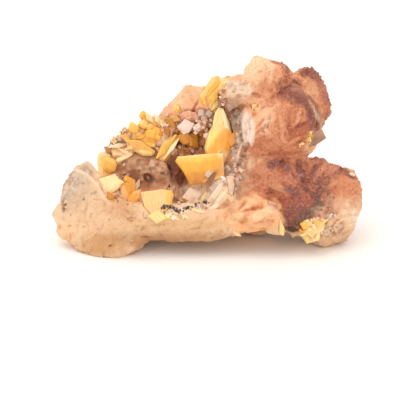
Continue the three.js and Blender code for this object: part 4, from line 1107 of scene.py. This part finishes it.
# Single small crystals, then crumbs, in the order in which they are laid.
wulfeniteCrumbs = [
    # the knobs on the ridge
    *crystals("nugget", [(-14.4, 21, 1.9, (1, 0.9, 0.9), (10, 20, 30), "#f6bc54")]),
    *crystals("plate", [(-12.6, 20.6, 3.4, (1, 0.6, 1.4), (30, 50, 20), "#fce6b8")]),
    *crystals("nugget", [
        (-14.2, 18.8, 2.8, (1, 0.9, 0.9), (-10, 30, 20), "#f9cc78"),
        (-12.6, 18.2, 2.2, (1, 0.8, 0.9), (20, -20, -30), "#f8c464"),
        (-16.6, 17.8, 3.1, (1, 0.9, 0.8), (10, 20, 30), "#fac058"),
        (-16.9, 18.7, 2, (1, 0.9, 0.7), (-20, 40, -20), "#fcd078"),
        (-12.2, 16.4, 3.2, (1, 0.9, 0.6), (10, 10, 10), "#f8bc50"),
        (-10.6, 15.6, 2, (1, 0.8, 0.8), (20, 30, 10), "#f4b64c"),
    ]),
    *crystals("plate", [
        (-10.6, 20, 3.4, (1, 0.6, 1), (-25, 60, 30), "#fdf0d0"),
        (-9, 19, 3, (0.8, 0.4, 1.4), (10, 0, 0), "#f6ead6"),
        (-7.4, 19.4, 3.8, (1, 0.8, 1.4), (20, 40, -30), "#c48632"),
        (-6.2, 20.4, 3, (1, 0.8, 1.4), (10, 20, -30), "#d8a462"),
        (-8.2, 17.2, 3, (1, 0.7, 1.4), (10, 70, -30), "#b87a30"),
    ]),
    # the middle leaves' second layers and the amber plates behind them
    *crystals("plate", [(-15.3, 13.6, 6, (1.28, 0.49, 0.6), (20, 22, 0), "#fec264")], bury=0.1),
    *crystals("plate", [(-8.4, 13.4, 6, (1.3, 0.5, 0.7), (20, -50, 6), "#ffcc68")]),
    *crystals("plate", [(-7, 13, 5.6, (1.2, 0.2, 1), (0, -54, 10), "#fff0c4")], bury=0),
    *crystals("plate", [
        (-3.6, 15.2, 4.4, (1, 0.8, 1), (-10, 20, 20), "#dc942e"),
        (-1.6, 14.4, 3.6, (1, 0.9, 1), (-10, 50, 30), "#c88628"),
        (0.6, 16.6, 2.4, (1, 0.8, 1), (10, 40, 30), "#cc9238"),
    ]),
    # the ridge at the left
    *crystals("plate", [(-22.9, 12.6, 2.6, (1, 0.8, 1.4), (10, 30, 20), "#bd8c4e")]),
    *crystals("nugget", [
        (-22.7, 8.9, 5.4, (0.92, 0.8, 0.3), (16, 24, -10), "#ffcc68"),
        (-23.7, 10.7, 3.8, (0.9, 0.8, 0.4), (24, 34, 10), "#ffe09c"),
    ]),
    *crystals("plate", [
        (-20.4, 13.6, 4.4, (1.2, 0.3, 1), (10, -10, 20), "#ffe6c4"),
        (-18.6, 12, 3.6, (1.2, 0.3, 1), (10, 24, 20), "#ffe0b4"),
        (-17.2, 13.2, 3, (1.2, 0.4, 1), (10, -20, 20), "#f6cc98"),
        (-21.6, 15.2, 2.6, (1, 0.45, 1), (30, -20, 30), "#f6dfb8"),
        (-20.2, 17, 2.8, (1, 0.5, 1), (-30, 40, 20), "#f9e6c4"),
        (-18.6, 15.6, 3, (1.1, 0.5, 1), (10, 14, 30), "#f0bc64"),
        (-14.6, 15.8, 3, (1.1, 0.5, 1), (-20, -20, 20), "#f2b650"),
        (-10.2, 12.6, 2.8, (1.1, 0.5, 1), (20, 30, 20), "#e8b888"),
        (-22.3, 0.9, 2.8, (1, 0.8, 1), (-20, 50, 20), "#d8902c"),
        (-19.4, 3.6, 2.2, (1, 0.7, 1), (10, -30, 30), "#dc9c40"),
        (-15.6, 3.8, 3.2, (1, 0.35, 1), (10, -72, 20), "#fbe2c0"),
    ]),
    # the front plate's lower leaf and the slivers below the pocket
    *crystals("plate", [
        (-10.6, -4.2, 4.2, (1, 0.9, 0.6), (-20, 6, 0), "#fbd68c"),
        (-8.2, -4, 3, (1, 0.5, 0.5), (-30, -30, 0), "#fbdfa8"),
        (-6.2, -4.4, 3, (1, 0.3, 0.5), (-40, 30, 0), "#fbe6c0"),
        (-3.6, -4.2, 2.4, (1, 0.5, 0.6), (-40, 30, 0), "#fbe0b4"),
        (-0.2, -2.8, 3, (1, 0.4, 0.5), (-50, 14, 0), "#fbdcaa"),
        (0.8, 0.6, 3.4, (1, 0.3, 0.8), (10, -62, 0), "#ffeeb4"),
        (-3.4, -0.1, 2.8, (1, 0.6, 0.7), (0, 30, 10), "#e6b060"),
    ]),
    # the top stack: one plate behind another
    *crystals("nugget", [(2.6, 27.5, 8, (1, 0.36, 0.16), (18, -49, 0), "#ffd070")], bury=0.7),
    *crystals("nugget", [(3.3, 26.9, 7.6, (1, 0.36, 0.16), (18, -49, 0), "#fabc50")], bury=0.4),
    *crystals("nugget", [(3.9, 26.3, 7, (1, 0.4, 0.16), (18, -49, 0), "#ffca64")], bury=0.1),
    *crystals("plate", [
        (5.6, 28.6, 2.6, (1, 0.6, 1), (10, -40, 20), "#fadc98"),
        (1, 29.6, 3.4, (1, 0.7, 1), (-10, -50, -20), "#fbe8c4"),
    ]),
    # later layers on the middle leaf and on the tip of the tall blade; the thin pale strip along the tip's
    # right edge is painted light, for an edge lit through
    *crystals("nugget", [(-14.4, 15.2, 8.6, (1, 0.34, 0.08), (10, 24, 0), "#ffcc68")], bury=0.35),
    *crystals("nugget", [(4.7, 20.2, 6.8, (0.45, 1, 0.12), (16, 12, 0), "#ffe6a0")], bury=0.1),
    *crystals("nugget", [(6.3, 19.9, 6.6, (0.2, 1, 0.12), (16, -15, 0), "#fff0c0")], bury=0.05),
    # single ones elsewhere
    *crystals("nugget", [(-5.6, 22.9, 1.7, (1, 0.7, 0.8), (0, 20, 0), "#f8cf70")]),
    *crystals("plate", [(8.2, 15.1, 3.4, (0.9, 1.25, 1.2), (-10, 12, 0), "#e89e40")], bury=0.1),
    *crystals("plate", [
        (13.6, 23.4, 2.4, (1, 0.35, 0.7), (10, -50, 0), "#f8d99c"),
        (14.8, 22.6, 2, (1, 0.4, 0.7), (10, -60, 0), "#fadfae"),
        (9.2, -8.4, 2.4, (1, 0.6, 0.7), (-30, 30, 0), "#f3cf94"),
    ]),
    *crumbs("plate", [
        (-20.4, 16, 3.6, 1.2, 30, 22, (0.8, 2), butter + pale),
        (-16, 19.6, 3, 1.2, 32, 18, (0.9, 2.2), butter),
        (-10.6, 19.4, 2.4, 1.4, 0, 14, (0.8, 2.2), butter + pale),
        (-6.8, 18.6, 1.6, 1.6, 0, 8, (1, 2), amber),
        (-2.6, 15.2, 3, 2, 0, 20, (0.9, 2), amber + butter),
        (-4.2, 12.6, 2.4, 1.2, 0, 12, (1.2, 2.2), amber), (7.4, 15, 1.2, 2.6, 0, 6, (0.8, 1.6), amber),
        (-20.5, 0.8, 2, 1.2, -20, 8, (0.8, 1.6), amber), (-7, -4, 3.6, 0.7, -4, 12, (0.7, 1.6), pale),
    ]),
    *crumbs("plate", [(27.8, -7, 2.6, 1.6, 24, 22, (1.8, 3), butter + pale)], anywhere=True, lean=50),
    *crumbs("plate", [(28.4, -8, 2.8, 1.8, 24, 26, (1, 2), butter + pale)], anywhere=True, lean=60),
    *crumbs("plate", [
        (30, -5.6, 2, 0.7, 20, 14, (0.9, 2), butter + pale),
        (27.4, 15.6, 0.6, 1.8, -20, 8, (0.8, 1.8), butter),
        (25.4, 13.8, 1, 0.3, 20, 4, (0.7, 1.3), pale), (1.6, 30, 1.8, 0.7, 20, 10, (0.8, 1.8), pale),
        (6, 28, 0.7, 1, 0, 5, (0.8, 1.4), butter + pale),
    ]),
]
sawTeeth = []
for i in range(8):
    tooth = (3.1 + 0.36 * i, 2.5 + 0.46 * i, 1.9, (1.4, 1, 1), (-90, -44, 0), "#fdeee0")
    sawTeeth += crystals("blade", [tooth], bury=0)
calciteCrumbs = sawTeeth + [
    *crystals("plate", [(-3.4, 18.4, 4, (1, 1.05, 0.8), (16, -14, 0), "#f8dece")], bury=0.1),
    *crystals("rhomb", [
        (-0.3, 18.2, 2.4, (1, 1, 1), (0, 20, 30), "#ecc6b0"),
        (0.8, 21.5, 2.8, (1.2, 0.9, 0.9), (20, 30, 10), "#d8c0b0"),
        (2.6, 21.8, 2.6, (1.1, 0.9, 0.9), (10, -20, 30), "#d4bba8"),
        (1.6, 16, 1.8, (1, 1, 1), (0, 40, 10), "#eccabc"),
        (-8.4, 18.4, 2.2, (0.7, 0.7, 1.5), (0, 70, 20), "#f0e2d2"),
    ]),
    *crystals("block", [(2.1, 6.5, 1.7, (1.2, 1, 1), (0, -50, 20), "#d8b8a0")]),
    *crystals("blade", [
        (2.9, 5.4, 3.6, (1.3, 1, 1), (-90, 32, 0), "#96603a"),
        (3.5, 6.2, 3.4, (1.2, 1, 1), (-90, 32, 0), "#c88c48"),
    ], bury=0.4),
    *crystals("plate", [(-1.9, 1.2, 4.8, (1, 1, 1.2), (16, -14, 0), "#ffe4ca")], bury=0),
    *crystals("rhomb", [
        (-10, 14.4, 2, (1, 1, 1), (10, 24, 12), "#e8c0a8"),
        (-6.6, 12.2, 2.2, (1, 1, 1), (10, -24, 12), "#ecc0a8"),
        (38, 6.4, 1.4, (1.4, 0.7, 0.7), (0, 20, 20), "#f3dcc0"),
    ]),
    *crumbs("rhomb", [
        (-20, 15.6, 4.2, 1.8, 30, 34, (0.6, 1.5), ashen + milky),
        (-10, 20, 3, 1.6, 10, 16, (0.8, 1.8), milky), (0.5, 18.8, 3, 2.2, 0, 26, (0.8, 1.9), milky),
        (-3, 12.6, 3.6, 1.8, 0, 26, (0.7, 1.6), rusty + milky),
    ]),
    *crumbs("rhomb", [(8, 8.6, 2.4, 5, 0, 14, (0.8, 2), wallStone)], bury=0.6),
    *crumbs("rhomb", [(8.2, 20, 2.6, 3, 0, 10, (0.6, 1.2), wallStone)], bury=0.5),
    *crumbs("rhomb", [
        (5.6, 25.4, 1.2, 2, 0, 22, (0.5, 1.2), rusty + milky),
        (10.2, 27.2, 3.6, 1.6, 0, 8, (0.6, 1.6), wallStone),
        (-18.5, 0.6, 2.4, 0.8, -25, 8, (0.6, 1.3), wallStone),
    ]),
    *crumbs("rhomb", [(-14, 8, 7, 4, 0, 14, (0.5, 1.2), rusty + wallStone)], bury=0.5),
    *crumbs("rhomb", [
        (-2, 0.5, 5, 3, 0, 14, (0.6, 1.5), milky), (-3.6, -2.4, 6, 0.8, 6, 16, (0.4, 1), milky),
    ]),
    *crumbs("rhomb", [(33.2, -7.4, 2.4, 1.8, 0, 14, (0.8, 2), wallStone)], bury=0.5),
    # the saw-toothed slab at the pocket's right
    *crystals("nugget", [
        (4.1, 1.8, 9, (1, 0.24, 0.2), (14, -55, 0), "#fce2c6"),
        (5.5, 0.2, 7.4, (1, 0.36, 0.24), (20, -48, 0), "#ffe2bc"),
        (3.2, -2, 4.4, (1, 0.3, 0.3), (20, -34, 0), "#ffe6c4"),
    ], bury=0.4),
    *crystals("blade", [(7.7, 4.2, 3.6, (1.6, 1, 1), (-90, 176, 20), "#efccae")]),
    *crumbs("blade", [(4.8, 0.4, 3, 1.4, 40, 10, (1.4, 2.6), milky)], lean=40),
    *crumbs("blade", [(2, -1.6, 3, 0.6, 14, 12, (1.2, 2.4), milky)], lean=50),
    *crumbs("blade", [(8, 4.5, 1, 2.6, 0, 7, (1.6, 3), milky)], lean=35, bury=0.4),
    *crumbs("rhomb", [(30.4, -4.6, 3.6, 0.6, 10, 30, (0.5, 1.1), milky)], bury=0.4),
]
soot = ["#6e5e54", "#8c7c70", "#463c36"]
beadLine = [(-10, -2.2), (-8, -1.4), (-6.2, -2.2), (-5.6, -3.1)]
beadLine += [(-3.8, -2.4), (-1.6, -1.8), (0.4, -0.8), (2.2, -0.6)]
manganeseBeads = []
for (x0, y0), (x1, y1) in zip(beadLine, beadLine[1:]):
    halfRun = math.hypot(x1 - x0, y1 - y0) / 2
    along = math.degrees(math.atan2(y1 - y0, x1 - x0))
    run = ((x0 + x1) / 2, (y0 + y1) / 2, halfRun, 0.4, along, 18, (0.3, 0.75), soot)
    manganeseBeads += crumbs("bead", [run], anywhere=True)

ground = [surfaceTree(matrix), surfaceTree(crust)]
smallCrystals = sprinkle("small_wulfenites", wulfeniteCrumbs, 5, ground, crystalTrees)
finishPiece(smallCrystals, wulfenite)
smallCalcites = sprinkle("small_calcites", calciteCrumbs, 6, ground, crystalTrees)
finishPiece(smallCalcites, calcite)
beadGround = ground + [surfaceTree(smallCrystals)]
beads = sprinkle("manganese_beads", manganeseBeads, 7, beadGround, crystalTrees)
finishPiece(beads, manganese)
print("crumbs sprinkled")

stage = {
    "floorSize": 3.0,
    "world": {"Color": (1, 0.98, 0.95, 1), "Strength": 1.15},
    "card": {"Base Color": "#f9f7f5", "Roughness": 0.9},
    "key": {"at": (-0.12, -0.05, 0.5), "size": 0.35, "energy": 0.5},
    "camera": {"sensor_width": 36, "lens": 180, "clip_start": 0.01},  # 100 mm wide at half a metre
}

bpy.ops.mesh.primitive_plane_add(size=stage["floorSize"])
floor = bpy.context.active_object
floor.name = "floor"
floorMaterial, floorTree, floorSurface = newMaterial("white_card")
setInputs(floorTree, floorSurface, stage["card"])
floor.data.materials.append(floorMaterial)

world = bpy.data.worlds.new("soft_studio")
bpy.context.scene.world = world
world.use_nodes = True
setInputs(world.node_tree, world.node_tree.nodes["Background"], stage["world"])

key = stage["key"]
bpy.ops.object.light_add(type="AREA", location=key["at"])
lamp = bpy.context.active_object
lamp.name = "key_light"
lamp.data.size = key["size"]
lamp.data.energy = key["energy"]
lamp.rotation_euler = (-Vector(key["at"])).to_track_quat("-Z", "Y").to_euler()

bpy.ops.object.camera_add(location=eye)
camera = bpy.context.active_object
camera.rotation_euler = sight.to_track_quat("-Z", "Y").to_euler()
for name, value in stage["camera"].items():
    setattr(camera.data, name, value)
bpy.context.scene.camera = camera
bpy.context.scene.view_settings.view_transform = "Standard"
